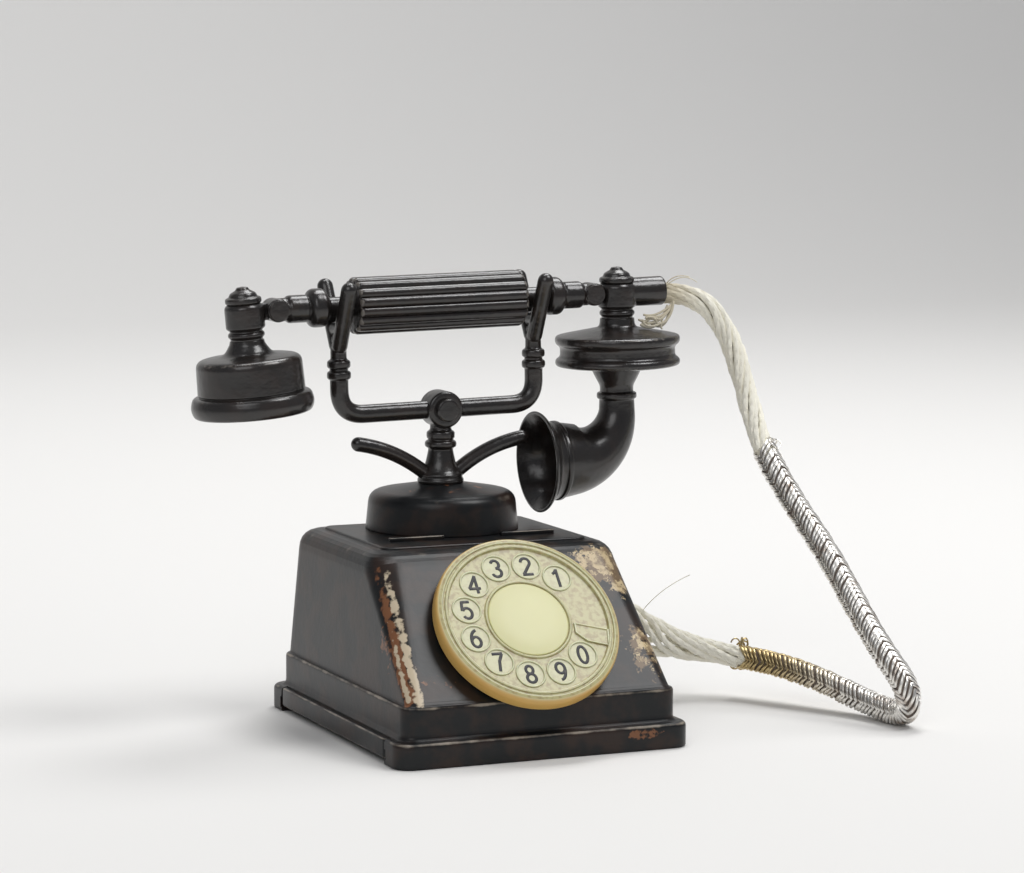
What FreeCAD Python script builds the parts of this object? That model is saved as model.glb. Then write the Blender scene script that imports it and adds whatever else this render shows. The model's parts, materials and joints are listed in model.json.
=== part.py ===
"""Die-cast miniature of an early desk telephone.

A stepped base with a leaning front carries a dial, a turret and a forked cradle. The handset lies in the
forks: a fluted grip with an earpiece bell on the left and a flanged capsule with a bent horn on the right.
A string cord runs from the handset to the base.

Frame: millimetres, +Z up, -Y is the dial side, origin under the middle of the object, on the floor. The
pieces are drawn about the middle of the plinth and then moved back by stand_shift, because the dial hangs
over the plinth's front.
"""
import FreeCAD
import Part
import math
import os
import re
import Sketcher

V = FreeCAD.Vector
Rotation = FreeCAD.Rotation
Placement = FreeCAD.Placement

# Driving sizes, in millimetres and degrees

SIZES = {
    "stand_shift": 0.75,
    # shared clearances and overlaps
    "seat_gap": 0.03,
    "end_gap": 0.1,
    "merge": 0.1,
    "joint_step": 0.05,
    "beyond": 1.0,
    # base housing
    "plinth_width": 38.0,
    "plinth_depth": 44.4,
    "plinth_corner": 2.2,
    "step_height": 3.1,
    "step_round": 0.4,
    "band_height": 4.05,
    "band_inset_side": 1.3,
    "band_inset_end": 1.25,
    "cove_radius": 0.7,
    "wall_ledge_side": 0.6,
    "wall_ledge_end": 0.15,
    "wall_height": 16.0,
    "wall_corner": 1.5,
    "wall_thickness": 1.5,
    "front_tilt": 41.4,
    "side_taper": 3.0,
    "back_taper": 0.5,
    "top_corner": 3.2,
    "top_round": 2.6,
    "pad_half_width": 13.6,
    "pad_front": 4.1,
    "pad_back": 17.5,
    "pad_height": 0.3,
    "rib_length": 7.2,
    "rib_width": 0.8,
    "rib_height": 0.5,
    "rib_start": 3.8,
    "rib_place": 0.9,
    # tray under the base
    "tray_seam": 17.4,
    "tray_front_thickness": 1.9,
    "tray_floor": 1.0,
    "tray_lift": 0.7,
    "tray_lip": 0.9,
    "tray_tongue": 0.8,
    "rail_width": 5.0,
    "slide_gap": 0.2,
    # turret and cradle
    "turret_place": 10.6,
    "turret_radius": 9.6,
    "turret_lean": 0.5,
    "turret_height": 4.7,
    "turret_round": 1.2,
    "turret_dome": 1.15,
    "stud_radius": 1.5,
    "stud_tail": 0.9,
    "washer_radius": 3.2,
    "washer_thickness": 0.6,
    "post_foot_radius": 2.75,
    "post_foot_height": 1.4,
    "post_bell_height": 2.8,
    "post_ring_height": 1.2,
    "post_neck_radius": 1.35,
    "post_step": 0.1,
    "post_bell_step": 0.4,
    "post_bell_round": 4.5,
    "post_ring_round": 0.66,
    "post_height": 9.15,
    "hub_radius": 2.35,
    "hub_front": 1.7,
    "hub_back": 2.0,
    "hub_round": 0.6,
    "pin_radius": 0.65,
    "pin_head_radius": 1.45,
    "pin_head": 0.8,
    "pin_chamfer": 0.24,
    "pin_tail": 0.4,
    "pin_tail_radius": 1.04,
    "pin_tail_top_radius": 0.91,
    "wing_radius": 0.85,
    "wing_reach": 11.4,
    "wing_rise": 5.2,
    "wing_root": 1.5,
    "wing_root_height": 0.6,
    "wing_bend": 18.0,
    "wing_tip_round": 0.76,
    "cradle_roll": 1.33,
    "fork_clearance": 1.85,
    "yoke_offset": -0.5,
    "yoke_radius": 1.15,
    "yoke_bend": 2.6,
    "yoke_arm": 4.2,
    "fork_ring": 1.1,
    "fork_ring_round": 0.66,
    "fork_ring_lift": 0.25,
    "fork_ring_gap": 0.3,
    "fork_spigot_radius": 0.6,
    "fork_spigot": 1.4,
    "prong_radius": 1.0,
    "prong_length": 8.6,
    "prong_angle": 27.6,
    "crotch_radius": 1.25,
    "neck_gap": 0.15,
    # handset
    "handset_height": 13.3,
    "handset_offset": -0.45,
    "grip_length": 22.7,
    "grip_radius": 3.4,
    "grip_round": 0.5,
    "flute_count": 16,
    "flute_radius": 0.45,
    "rod_radius": 0.7,
    "rod_engagement": 2.6,
    "neck_radius": 1.25,
    "neck_length": 3.3,
    "bead_width": 2.6,
    "bead_round": 1.4,
    "bead_step": 0.25,
    "arm_groove": 0.1,
    "collar_radius": 1.7,
    "collar_length": 2.5,
    "collar_chamfer": 0.3,
    "knuckle_radius": 1.45,
    "knuckle_width": 3.0,
    "knuckle_reach": 1.6,
    "tongue_thickness": 1.2,
    "tongue_radius": 1.05,
    "slot_gap": 0.2,
    "rivet_radius": 0.55,
    "rivet_head_radius": 1.3,
    "rivet_head": 0.25,
    "stem_reach": 14.0,
    "stem_radius": 2.4,
    "stem_top": 1.25,
    "stem_bottom": 1.75,
    "stem_neck": 1.55,
    "stem_neck_radius": 2.0,
    "stem_groove": 0.31,
    "stem_bead_top": 0.465,
    "stem_bead_foot": 1.16,
    "stem_bead_round": 0.465,
    "stem_edge_drop": 0.35,
    "stem_edge_in": 0.3,
    "stem_edge_round": 0.5,
    "spigot_radius": 1.0,
    "spigot_length": 1.2,
    "finial_radius": 2.0,
    "finial_height": 2.1,
    "finial_spigot": 0.6,
    "finial_rim": 0.8,
    "finial_rim_round": 0.504,
    "finial_lip": 0.08,
    "finial_dome_radius": 1.72,
    "finial_dome_round": 1.8,
    "finial_tip": 0.42,
    "finial_tip_radius": 0.68,
    "earpiece_lean": 4.0,
    "bell_flare": 2.2,
    "bell_flare_round": 3.85,
    "bell_shoulder_radius": 5.6,
    "bell_shoulder_round": 0.85,
    "bell_radius": 6.4,
    "bell_height": 4.2,
    "bell_draft": 0.1,
    "rim_radius": 6.95,
    "rim_height": 2.7,
    "rim_round": 1.6,
    "bell_wall": 0.8,
    "bell_mouth_draft": 0.3,
    "bell_inner_round": 1.04,
    "capsule_radius": 8.0,
    "capsule_cone": 2.35,
    "capsule_neck_step": 0.15,
    "capsule_neck_round": 2.12,
    "capsule_neck_spread": 1.4,
    "capsule_neck_drop": 1.29,
    "capsule_edge": 0.7,
    "capsule_edge_rise": 0.3,
    "capsule_edge_drop": 0.2,
    "capsule_edge_round": 0.9,
    "capsule_foot_drop": 0.1,
    "capsule_flange": 0.7,
    "capsule_waist": 2.2,
    "capsule_waist_round": 1.76,
    "capsule_base": 0.35,
    "horn_neck_radius": 2.2,
    "horn_neck": 3.2,
    "horn_neck_spread": 0.75,
    "horn_neck_round": 2.08,
    "horn_ring": 0.8,
    "horn_ring_round": 0.424,
    "horn_swell": 0.15,
    "horn_drop": 2.2,
    "horn_bend": 5.3,
    "horn_root_radius": 4.6,
    "horn_bell_radius": 4.95,
    "horn_mouth_radius": 6.5,
    "horn_straight": 3.0,
    "horn_flare": 2.9,
    "horn_flare_round": 3.77,
    "horn_bead": 0.5,
    "horn_bead_round": 0.3,
    "horn_lip": 0.35,
    "horn_lip_in": 0.25,
    "horn_lip_round": 0.3,
    "horn_lip_flat": 0.3,
    "horn_dish_round": 4.64,
    "horn_dish_end": 1.2,
    "horn_wall": 0.6,
    "horn_root_wall": 0.8,
    "socket_radius": 1.85,
    "socket_reach": 6.4,
    "socket_bite": 0.12,
    "socket_bore": 1.35,
    "socket_depth": 3.2,
    # dial
    "dial_rise": 9.5,
    "dial_radius": 11.3,
    "dial_thickness": 2.35,
    "dial_gap": 0.25,
    "dial_rim": 1.15,
    "dial_sink": 0.3,
    "dial_round": 0.65,
    "cap_radius": 5.1,
    "cap_seat": 1.3,
    "cap_dome": 0.12,
    "ring_circle": 7.7,
    "ring_radius": 1.72,
    "ring_width": 0.22,
    "ring_height": 0.16,
    "ring_sink": 0.05,
    "ring_pitch": 30.0,
    "ring_count": 10,
    "first_ring": 46.0,
    "stop_angle": -14.0,
    "stop_width": 1.9,
    "stop_start": 1.0,
    "stop_height": 0.24,
    "pivot_radius": 1.0,
    "pivot_head_radius": 2.3,
    "pivot_head": 0.5,
    "pivot_tail": 1.2,
    "nut_radius": 2.6,
    "nut_thickness": 0.6,
    "run_gap": 0.05,
    # cord
    "strand_radius": 1.25,
    "wrap_radius": 1.45,
    "cord_hole": 1.5,
    "cord_place": 8.0,
    "cord_height": 12.5,
    "cord_lead": 3.6,
    "knot_height": 2.3,
    "knot_round": 1.38,
    "knot_tail_radius": 0.92,
    "knot_length": 3.45,
    "knot_gap": 0.25,
}

# The cord's free route from the handset socket to the base, chosen by hand, in millimetres
UPPER_ROUTE = [
    (33.2, 10.6, 52.4),
    (37.3, 10.4, 50.7),
    (39.9, 9.4, 46.5),
    (40.7, 7.0, 41.3),
    (40.7, 4.2, 36.4),
]
WRAP_ROUTE = [
    (40.9, 1.0, 31.8),
    (42.2, -3.2, 26.2),
    (44.2, -8.8, 19.7),
    (45.8, -14.6, 13.2),
    (46.9, -19.0, 9.1),
    (48.1, -22.8, 5.8),
    (48.7, -23.0, 3.3),
    (49.0, -21.1, 1.5),
    (48.6, -18.2, 1.5),
    (47.3, -13.0, 2.2),
    (44.9, -7.6, 3.8),
    (42.0, -1.6, 5.0),
    (39.2, 2.8, 5.4),
]
LOWER_ROUTE = [(35.4, 6.0, 6.0), (30.6, 7.4, 7.4), (26.2, 7.8, 9.6), (22.2, 8.0, 11.5)]
# Share of a run that the cord's arcs may use, and shares of the horn's bend that carry a section
ARC_SHARE = 0.45
BEND_SHARES = (0.25, 0.5, 0.75, 1.0)
# Slack of tests: a tube's volume as a share, and places in millimetres
VOLUME_SLACK = 0.02
EDGE_SLACK = 0.01
POINT_SLACK = 1e-3

doc = FreeCAD.newDocument("Telephone")
sheet = doc.addObject("Spreadsheet::Sheet", "Sizes")
for row, (alias, value) in enumerate(SIZES.items(), start=1):
    sheet.set("A%d" % row, alias)
    sheet.set("B%d" % row, str(value))
    sheet.setAlias("B%d" % row, alias)
doc.recompute()
pieces = []


# Tools for sketches and solids

def words(expression):
    """Puts the sheet's name before each size that an expression uses."""
    def qualify(match):
        name = match.group(0)
        return "Sizes." + name if name in SIZES else name
    return re.sub(r"[A-Za-z_]+", qualify, str(expression))


def size(expression):
    """Number that an expression of the sheet's sizes stands for."""
    return float(sheet.evalExpression(words(expression)))


def bind(item, **properties):
    """Ties properties of an object to expressions of the sheet's sizes."""
    for name, expression in properties.items():
        item.setExpression(name.replace("__", "."), words(expression))
    return item


def arc_centre(start, end, radius, left):
    """Centre of the arc of one radius between two points, on the left or right of the way there."""
    middle = (start + end) * 0.5
    along = end - start
    half = along.Length / 2
    rise = math.sqrt(max(radius * radius - half * half, 0.0))
    side = V(-along.y, along.x, 0).normalize()
    return middle + side * (rise if left else -rise)


ROUND = "round"
HOLLOW = "hollow"


def sketch_on(body, role, name, lift=None):
    """Empty sketch on one of the body's own origin planes, raised off it by an expression."""
    sketch = body.newObject("Sketcher::SketchObject", name)
    plane = [item for item in body.Origin.OriginFeatures if item.Role == role][0]
    sketch.AttachmentSupport = (plane, [""])
    sketch.MapMode = "FlatFace"
    if lift is not None:
        bind(sketch, AttachmentOffset__Base__z=lift)
    return sketch


def outline(body, role, name, corners, lift=None, closed=True):
    """Sketch of an outline whose every corner is held by two driven distances.

    A corner is (across, up) in words of the sheet. With two more entries, ROUND or HOLLOW and a radius,
    the edge that leaves it is an arc that bulges out of the outline or dips into it.
    """
    sketch = sketch_on(body, role, name, lift)
    points = [V(size(corner[0]), size(corner[1]), 0) for corner in corners]
    count = len(points)
    turned = [points[i].x * points[(i + 1) % count].y - points[(i + 1) % count].x * points[i].y
              for i in range(count)]
    anticlockwise = sum(turned) > 0
    ends = []
    for i in range(count if closed else count - 1):
        start = points[i]
        end = points[(i + 1) % count]
        if len(corners[i]) == 2:
            sketch.addGeometry(Part.LineSegment(start, end))
            ends.append((1, 2))
            continue
        left = (corners[i][2] == ROUND) == anticlockwise
        radius = size(corners[i][3])
        centre = arc_centre(start, end, radius, left)
        first, last = (start, end) if left else (end, start)
        begin = math.atan2(first.y - centre.y, first.x - centre.x)
        until = math.atan2(last.y - centre.y, last.x - centre.x)
        circle = Part.Circle(centre, V(0, 0, 1), radius)
        if until < begin:
            until += 2 * math.pi
        sketch.addGeometry(Part.ArcOfCircle(circle, begin, until))
        ends.append((1, 2) if left else (2, 1))
    for i in range(len(ends) if closed else len(ends) - 1):
        after = (i + 1) % len(ends)
        sketch.addConstraint(Sketcher.Constraint("Coincident", i, ends[i][1], after, ends[after][0]))
    for i, corner in enumerate(corners):
        edge, end = (i, ends[i][0]) if i < len(ends) else (i - 1, ends[i - 1][1])
        for kind, axis, value in (("DistanceX", -2, corner[0]), ("DistanceY", -1, corner[1])):
            if str(value) == "0":
                sketch.addConstraint(Sketcher.Constraint("PointOnObject", edge, end, axis))
                continue
            held = sketch.addConstraint(Sketcher.Constraint(kind, -1, 1, edge, end, size(value)))
            sketch.setExpression("Constraints[%d]" % held, words(value))
        if len(corner) == 4:
            held = sketch.addConstraint(Sketcher.Constraint("Radius", i, size(corner[3])))
            sketch.setExpression("Constraints[%d]" % held, words(corner[3]))
    return sketch


def circle_on(body, role, name, across, up, radius, lift=None):
    """Sketch of one circle with a driven centre and radius."""
    sketch = sketch_on(body, role, name, lift)
    centre = V(size(across), size(up), 0)
    sketch.addGeometry(Part.Circle(centre, V(0, 0, 1), size(radius)))
    for kind, axis, value in (("DistanceX", -2, across), ("DistanceY", -1, up)):
        if str(value) == "0":
            sketch.addConstraint(Sketcher.Constraint("PointOnObject", 0, 3, axis))
            continue
        value = centre.x if axis == -2 else centre.y
        held = sketch.addConstraint(Sketcher.Constraint(kind, -1, 1, 0, 3, value))
        sketch.setExpression("Constraints[%d]" % held, words(value))
    held = sketch.addConstraint(Sketcher.Constraint("Radius", 0, size(radius)))
    sketch.setExpression("Constraints[%d]" % held, words(radius))
    return sketch


def new_body(name):
    """Empty body."""
    return doc.addObject("PartDesign::Body", name)


def turned_body(name, corners, axis="V_Axis"):
    """Piece turned on a lathe: an outline in the XZ plane, spun about Z or X."""
    body = new_body(name)
    sketch = outline(body, "XZ_Plane", name + "_outline", corners)
    spin = body.newObject("PartDesign::Revolution", name + "_spin")
    spin.Profile = sketch
    spin.ReferenceAxis = (sketch, [axis])
    spin.Angle = 360.0
    return body


def pad(body, sketch, name, length):
    """Sketch drawn up to a length."""
    feature = body.newObject("PartDesign::Pad", name)
    feature.Profile = sketch
    return bind(feature, Length=length)


def round_edges(body, name, radius, wanted):
    """Fillet on the edges of the body that a test picks out."""
    doc.recompute()
    base = body.Tip
    names = ["Edge%d" % (i + 1) for i, edge in enumerate(base.Shape.Edges) if wanted(edge)]
    if not names:
        raise RuntimeError("no edges for " + name)
    feature = body.newObject("PartDesign::Fillet", name)
    feature.Base = (base, names)
    return bind(feature, Radius=radius)


def level_edge(height):
    """Test for edges that lie flat at one height."""
    return lambda edge: all(abs(corner.Z - height) < POINT_SLACK for corner in edge.Vertexes)


def stand(item, spot, turn=Rotation(), frame=None):
    """Puts a solid at a spot in words of the sheet: driven by them, or set inside a turned frame."""
    if frame is None:
        item.Placement = Placement(V(0, 0, 0), turn)
        return bind(item, Placement__Base__x=spot[0], Placement__Base__y=spot[1], Placement__Base__z=spot[2])
    item.Placement = frame.multiply(Placement(V(*[size(value) for value in spot]), turn))
    return item


def cylinder(name, radius, height, spot=("0", "0", "0"), towards=V(0, 0, 1), frame=None):
    """Cylinder from a spot along a direction."""
    item = stand(doc.addObject("Part::Cylinder", name), spot, Rotation(V(0, 0, 1), towards), frame)
    return bind(item, Radius=radius, Height=height)


def box(name, low, high, frame=None):
    """Box between two corners given in words of the sheet."""
    item = stand(doc.addObject("Part::Box", name), low, frame=frame)
    return bind(item, Length="(%s) - (%s)" % (high[0], low[0]), Width="(%s) - (%s)" % (high[1], low[1]),
                Height="(%s) - (%s)" % (high[2], low[2]))


def joined(name, items):
    """Several solids made one."""
    item = doc.addObject("Part::MultiFuse", name)
    item.Shapes = items
    item.Refine = True
    return item


def cut(name, base, tools):
    """Solid less its tools."""
    item = doc.addObject("Part::Cut", name)
    item.Base = base
    item.Tool = tools[0] if len(tools) == 1 else joined(name + "_tools", tools)
    return item


def finish(item, label, frame=None):
    """Names a finished piece and sets it in its place."""
    item.Label = label
    stand = Placement(V(0, size("stand_shift"), 0), Rotation())
    item.Placement = stand.multiply(item.Placement if frame is None else frame)
    pieces.append(item)


# Places that several pieces share

BAND_TOP = "(step_height + band_height)"
TOP = "(step_height + band_height + wall_height)"
PAD_TOP = "(step_height + band_height + wall_height + pad_height)"
WALL_HALF = "(plinth_width / 2 - band_inset_side - wall_ledge_side)"
WALL_END = "(plinth_depth / 2 - band_inset_end - wall_ledge_end)"
FOOT = PAD_TOP[:-1] + " + turret_height + turret_dome)"
HUB = FOOT[:-1] + " + post_height)"
STEM_SHOULDER = "(stem_bottom + stem_neck)"
LEFT_ARM = "(yoke_offset - grip_length / 2 - fork_clearance)"
RIGHT_ARM = "(yoke_offset + grip_length / 2 + fork_clearance)"

HALF_TURN = Rotation(V(0, 0, 1), 180)
QUARTER = 90
turret_spot = V(0, size("turret_place"), 0)
cradle = Placement(turret_spot + V(0, 0, size(HUB)), Rotation(V(0, 1, 0), -size("cradle_roll")))
half_grip = size("grip_length") / 2


def on_cradle(x, z, turn=0.0):
    """Place in the rolled frame of the cradle, whose origin is the middle of the hub."""
    return cradle.multiply(Placement(V(x, 0, z), Rotation(V(0, 0, 1), turn)))


def wall_frame():
    """Place on the front wall at the dial's axis, with +Z out of the wall."""
    tilt = math.radians(size("front_tilt"))
    rise = size("dial_rise")
    spot = V(0, -size(WALL_END) + rise * math.sin(tilt), size(BAND_TOP) + rise * math.cos(tilt))
    return Placement(spot, Rotation(V(1, 0, 0), QUARTER - size("front_tilt")))


def rounded_block(body, name, lift, half, front, back, corner):
    """Sketch of a rectangle with round corners, seen from above."""
    corners = [
        ("%s - %s" % (half, corner), front, ROUND, corner),
        (half, "%s + %s" % (front, corner)),
        (half, "%s - %s" % (back, corner), ROUND, corner),
        ("%s - %s" % (half, corner), back),
        ("%s - %s" % (corner, half), back, ROUND, corner),
        ("-%s" % half, "%s - %s" % (back, corner)),
        ("-%s" % half, "%s + %s" % (front, corner), ROUND, corner),
        ("%s - %s" % (corner, half), front),
    ]
    return outline(body, "XY_Plane", name, corners, lift)


# Base

def lofted(body, kind, name, lower, upper):
    """Solid or hollow between two outlines."""
    feature = body.newObject("PartDesign::" + kind, name)
    feature.Profile = lower
    feature.Sections = [upper]
    return feature


def housing_shell():
    """Plinth step, band and leaning walls, hollow from below, with a raised pad and ribs on top."""
    body = new_body("housing")
    step = rounded_block(body, "step", None, "plinth_width / 2", "-plinth_depth / 2", "plinth_depth / 2",
                         "plinth_corner")
    pad(body, step, "step_pad", "step_height")
    band = rounded_block(body, "band", "step_height", "(plinth_width / 2 - band_inset_side)",
                         "-(plinth_depth / 2 - band_inset_end)", "(plinth_depth / 2 - band_inset_end)",
                         "(plinth_corner - step_round)")
    pad(body, band, "band_pad", "band_height")
    round_edges(body, "cove", "cove_radius", band_foot_edge)
    round_edges(body, "step_edge", "step_round", step_rim_edge)
    foot = rounded_block(body, "wall_foot", BAND_TOP, WALL_HALF, "-" + WALL_END, WALL_END, "wall_corner")
    head = rounded_block(body, "wall_head", TOP, "(%s - wall_height * tan(side_taper))" % WALL_HALF,
                         "(wall_height * tan(front_tilt) - %s)" % WALL_END,
                         "(%s - wall_height * tan(back_taper))" % WALL_END, "top_corner")
    lofted(body, "AdditiveLoft", "walls", foot, head)
    round_edges(body, "top_edge", "top_round", level_edge(size(TOP)))
    raised = rounded_block(body, "raised", TOP, "pad_half_width", "-pad_front", "pad_back", "wall_corner")
    pad(body, raised, "raised_pad", "pad_height")
    inner_foot = rounded_block(body, "hollow_foot", BAND_TOP, "(%s - wall_thickness)" % WALL_HALF,
                               "(wall_thickness / cos(front_tilt) - %s)" % WALL_END,
                               "(%s - wall_thickness)" % WALL_END, "wall_corner")
    inner_head = rounded_block(
        body, "hollow_head", "(%s - wall_thickness)" % TOP,
        "(%s - wall_thickness - (wall_height - wall_thickness) * tan(side_taper))" % WALL_HALF,
        "((wall_height - wall_thickness) * tan(front_tilt) + wall_thickness / cos(front_tilt) - %s)"
        % WALL_END,
        "(%s - wall_thickness - (wall_height - wall_thickness) * tan(back_taper))" % WALL_END, "wall_corner")
    lofted(body, "SubtractiveLoft", "hollow", inner_foot, inner_head)
    return body


def band_foot_edge(edge):
    """The inner corner where the band stands on the step."""
    inside = size("plinth_width / 2 - band_inset_side") + EDGE_SLACK
    deep = size("plinth_depth / 2 - band_inset_end") + EDGE_SLACK
    flat = level_edge(size("step_height"))(edge)
    return flat and all(abs(c.X) < inside and abs(c.Y) < deep for c in edge.Vertexes)


def step_rim_edge(edge):
    """The outer rim of the step."""
    flat = level_edge(size("step_height"))(edge)
    outer = size("plinth_width / 2 - step_round")
    far = size("plinth_depth / 2 - step_round")
    return flat and all(abs(c.X) > outer or abs(c.Y) > far for c in edge.Vertexes)


def base_housing():
    """Shell with the tray's mouth and rails, the holes for stud, cord and dial, and the two ribs on top."""
    shell = housing_shell()
    seam = "(tray_seam + slide_gap)"
    well = "(plinth_depth / 2 - rail_width)"
    rail = "(%s + tray_tongue)" % well
    inner = "(%s - wall_thickness)" % WALL_HALF
    lower = box("lower_hollow", ("-" + inner, "-" + well, "-beyond"), (inner, well, BAND_TOP + " + merge"))
    groove = box("groove", ("-plinth_width", "-" + rail, "tray_lift - slide_gap"),
                 (inner, rail, "tray_lift + tray_floor + slide_gap"))
    mouth = box("tray_mouth", ("-plinth_width", "-" + seam, "-beyond"),
                ("tray_front_thickness + slide_gap - plinth_width / 2", seam, "step_height + slide_gap"))
    throat = box("tray_throat", ("-plinth_width / 2", "-" + well, "-beyond"),
                 ("0", well, "tray_lift + tray_floor + tray_lip + slide_gap"))
    stud = cylinder("stud_hole", "stud_radius + seat_gap", "wall_thickness * 4",
                    ("0", "turret_place", "%s - wall_thickness * 3" % TOP))
    cord = cylinder("cord_way", "cord_hole", "plinth_width / 2",
                    ("plinth_width / 4", "cord_place", "cord_height"), V(1, 0, 0))
    dial = cylinder("dial_way", "pivot_radius + run_gap", "wall_thickness * 4",
                    ("0", "0", "-wall_thickness * 3"), frame=wall_frame())
    bored = cut("housing_bored", shell, [lower, groove, mouth, throat, stud, cord, dial])
    ribs = []
    for side, start in (("left", "-rib_start - rib_length"), ("right", "rib_start")):
        ribs.append(box("rib_" + side, (start, "rib_place - rib_width / 2", TOP),
                        ("%s + rib_length" % start, "rib_place + rib_width / 2",
                         "%s + rib_height" % PAD_TOP)))
    finish(joined("housing_whole", [bored] + ribs), "base_housing")


def bottom_tray():
    """Tray that slides in the rails under the base; its left edge fills the gap in the plinth step."""
    well = "(plinth_depth / 2 - rail_width - slide_gap)"
    end = "(%s - wall_thickness - slide_gap)" % WALL_HALF
    floor_top = "(tray_lift + tray_floor)"
    front = box("tray_front", ("-plinth_width / 2", "-tray_seam", "tray_lift"),
                ("tray_front_thickness - plinth_width / 2", "tray_seam", "step_height"))
    plate = box("tray_plate", ("-plinth_width / 2", "-%s - tray_tongue" % well, "tray_lift"),
                (end, "%s + tray_tongue" % well, floor_top))
    rim = box("tray_rim", ("tray_front_thickness - plinth_width / 2", "-" + well, "tray_lift"),
              (end, well, "%s + tray_lip" % floor_top))
    dish = box("tray_dish", ("tray_front_thickness - plinth_width / 2", "tray_floor - %s" % well, floor_top),
               ("%s - tray_floor" % end, "%s - tray_floor" % well, "%s + tray_lip + beyond" % floor_top))
    notches = [box("tray_notch_" + side, ("-plinth_width", low, "0"),
                   ("tray_front_thickness + slide_gap - plinth_width / 2", high, "step_height"))
               for side, low, high in (("front", "-plinth_depth", "-tray_seam"),
                                       ("back", "tray_seam", "plinth_depth"))]
    finish(cut("tray_whole", joined("tray_solid", [front, plate, rim]), [dish] + notches), "bottom_tray")


def turret_cap():
    """Round cap with a soft shoulder and a shallow dome."""
    top = "(turret_radius - turret_lean)"
    corners = [
        ("stud_radius + seat_gap", "0"),
        ("turret_radius", "0"),
        (top, "turret_height - turret_round", ROUND, "turret_round"),
        ("%s - turret_round" % top, "turret_height"),
        ("post_foot_radius", "turret_height + turret_dome"),
        ("stud_radius + seat_gap", "turret_height + turret_dome"),
    ]
    body = turned_body("turret", corners)
    finish(body, "turret_cap", Placement(turret_spot + V(0, 0, size(PAD_TOP)), Rotation()))


def cradle_post():
    """Turned post with foot rings, bell and collars, a stud below and the cross hub on top."""
    bell = "(post_foot_height + post_bell_height)"
    ring = "(post_foot_height + post_bell_height + post_ring_height)"
    small = "(post_foot_height + post_bell_height + 2 * post_ring_height)"
    depth = "(turret_dome + turret_height + pad_height + wall_thickness + washer_thickness + stud_tail)"
    corners = [
        ("0", "-" + depth),
        ("stud_radius", "-" + depth),
        ("stud_radius", "0"),
        ("post_foot_radius", "0", ROUND, "post_foot_height / 3"),
        ("post_foot_radius - post_step", "post_foot_height / 2", ROUND, "post_foot_height / 3"),
        ("post_foot_radius - post_bell_step", "post_foot_height", HOLLOW, "post_bell_round"),
        ("post_neck_radius + 2 * post_step", bell),
        ("post_neck_radius + post_step", bell + " + post_step", ROUND, "post_ring_round"),
        ("post_neck_radius + post_step", ring),
        ("post_neck_radius", ring + " + post_step", ROUND, "post_ring_round"),
        ("post_neck_radius", small),
        ("post_neck_radius", "post_height"),
        ("0", "post_height"),
    ]
    post = turned_body("post", corners)
    hub = cylinder("hub", "hub_radius", "hub_front + hub_back",
                   ("0", "-hub_front", "post_height"), V(0, 1, 0))
    soft_hub = doc.addObject("Part::Fillet", "hub_soft")
    soft_hub.Base = hub
    doc.recompute()
    rims = [i + 1 for i, edge in enumerate(hub.Shape.Edges) if len(edge.Vertexes) == 1]
    soft_hub.Edges = [(number, size("hub_round"), size("hub_round")) for number in rims]
    bar = cylinder("bar_way", "yoke_radius + seat_gap", "hub_radius * 4",
                   ("-hub_radius * 2", "0", "0"), V(1, 0, 0),
                   Placement(V(0, 0, size("post_height")), Rotation(V(0, 1, 0), -size("cradle_roll"))))
    pin = cylinder("pin_way", "pin_radius + seat_gap", "hub_front + hub_back + 2 * beyond",
                   ("0", "-hub_front - beyond", "post_height"), V(0, 1, 0))
    sockets = [wing("wing_way_" + side, "wing_radius + seat_gap") for side in ("left", "right")]
    sockets[0].Placement = Placement(V(0, 0, 0), HALF_TURN)
    whole = cut("post_whole", joined("post_solid", [post, soft_hub]), [bar, pin] + sockets)
    finish(whole, "cradle_post", Placement(turret_spot + V(0, 0, size(FOOT)), Rotation()))


def wing(name, radius, tip_round=None):
    """Curved rod that leaves the post's foot on a slope and levels out towards its tip."""
    body = new_body(name)
    tip = ("wing_reach", "wing_rise")
    path = outline(body, "XZ_Plane", name + "_path",
                   [("wing_root", "wing_root_height", ROUND, "wing_bend"), tip], closed=False)
    doc.recompute()
    edge = path.Shape.Edges[0]
    root = V(size("wing_root"), 0, size("wing_root_height"))
    at_root = edge.FirstParameter
    if (edge.valueAt(at_root) - root).Length > POINT_SLACK:
        at_root = edge.LastParameter
    section = sketch_on(body, "XY_Plane", name + "_section")
    section.MapMode = "Deactivated"
    section.Placement = Placement(root, Rotation(V(0, 0, 1), edge.tangentAt(at_root)))
    section.addGeometry(Part.Circle(V(0, 0, 0), V(0, 0, 1), size(radius)))
    section.addConstraint(Sketcher.Constraint("Coincident", 0, 3, -1, 1))
    held = section.addConstraint(Sketcher.Constraint("Radius", 0, size(radius)))
    section.setExpression("Constraints[%d]" % held, words(radius))
    pipe = body.newObject("PartDesign::AdditivePipe", name + "_pipe")
    pipe.Profile = section
    pipe.Spine = (path, ["Edge1"])
    if tip_round:
        end = V(size("wing_reach"), 0, size("wing_rise"))
        round_edges(body, name + "_tip", tip_round, lambda e: (e.CenterOfMass - end).Length < POINT_SLACK)
    return body


def cradle_wings():
    """The two rods, one turned half round."""
    foot = turret_spot + V(0, 0, size(FOOT))
    finish(wing("right_wing", "wing_radius", "wing_tip_round"), "wing_right", Placement(foot, Rotation()))
    finish(wing("left_wing", "wing_radius", "wing_tip_round"), "wing_left", Placement(foot, HALF_TURN))


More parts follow.
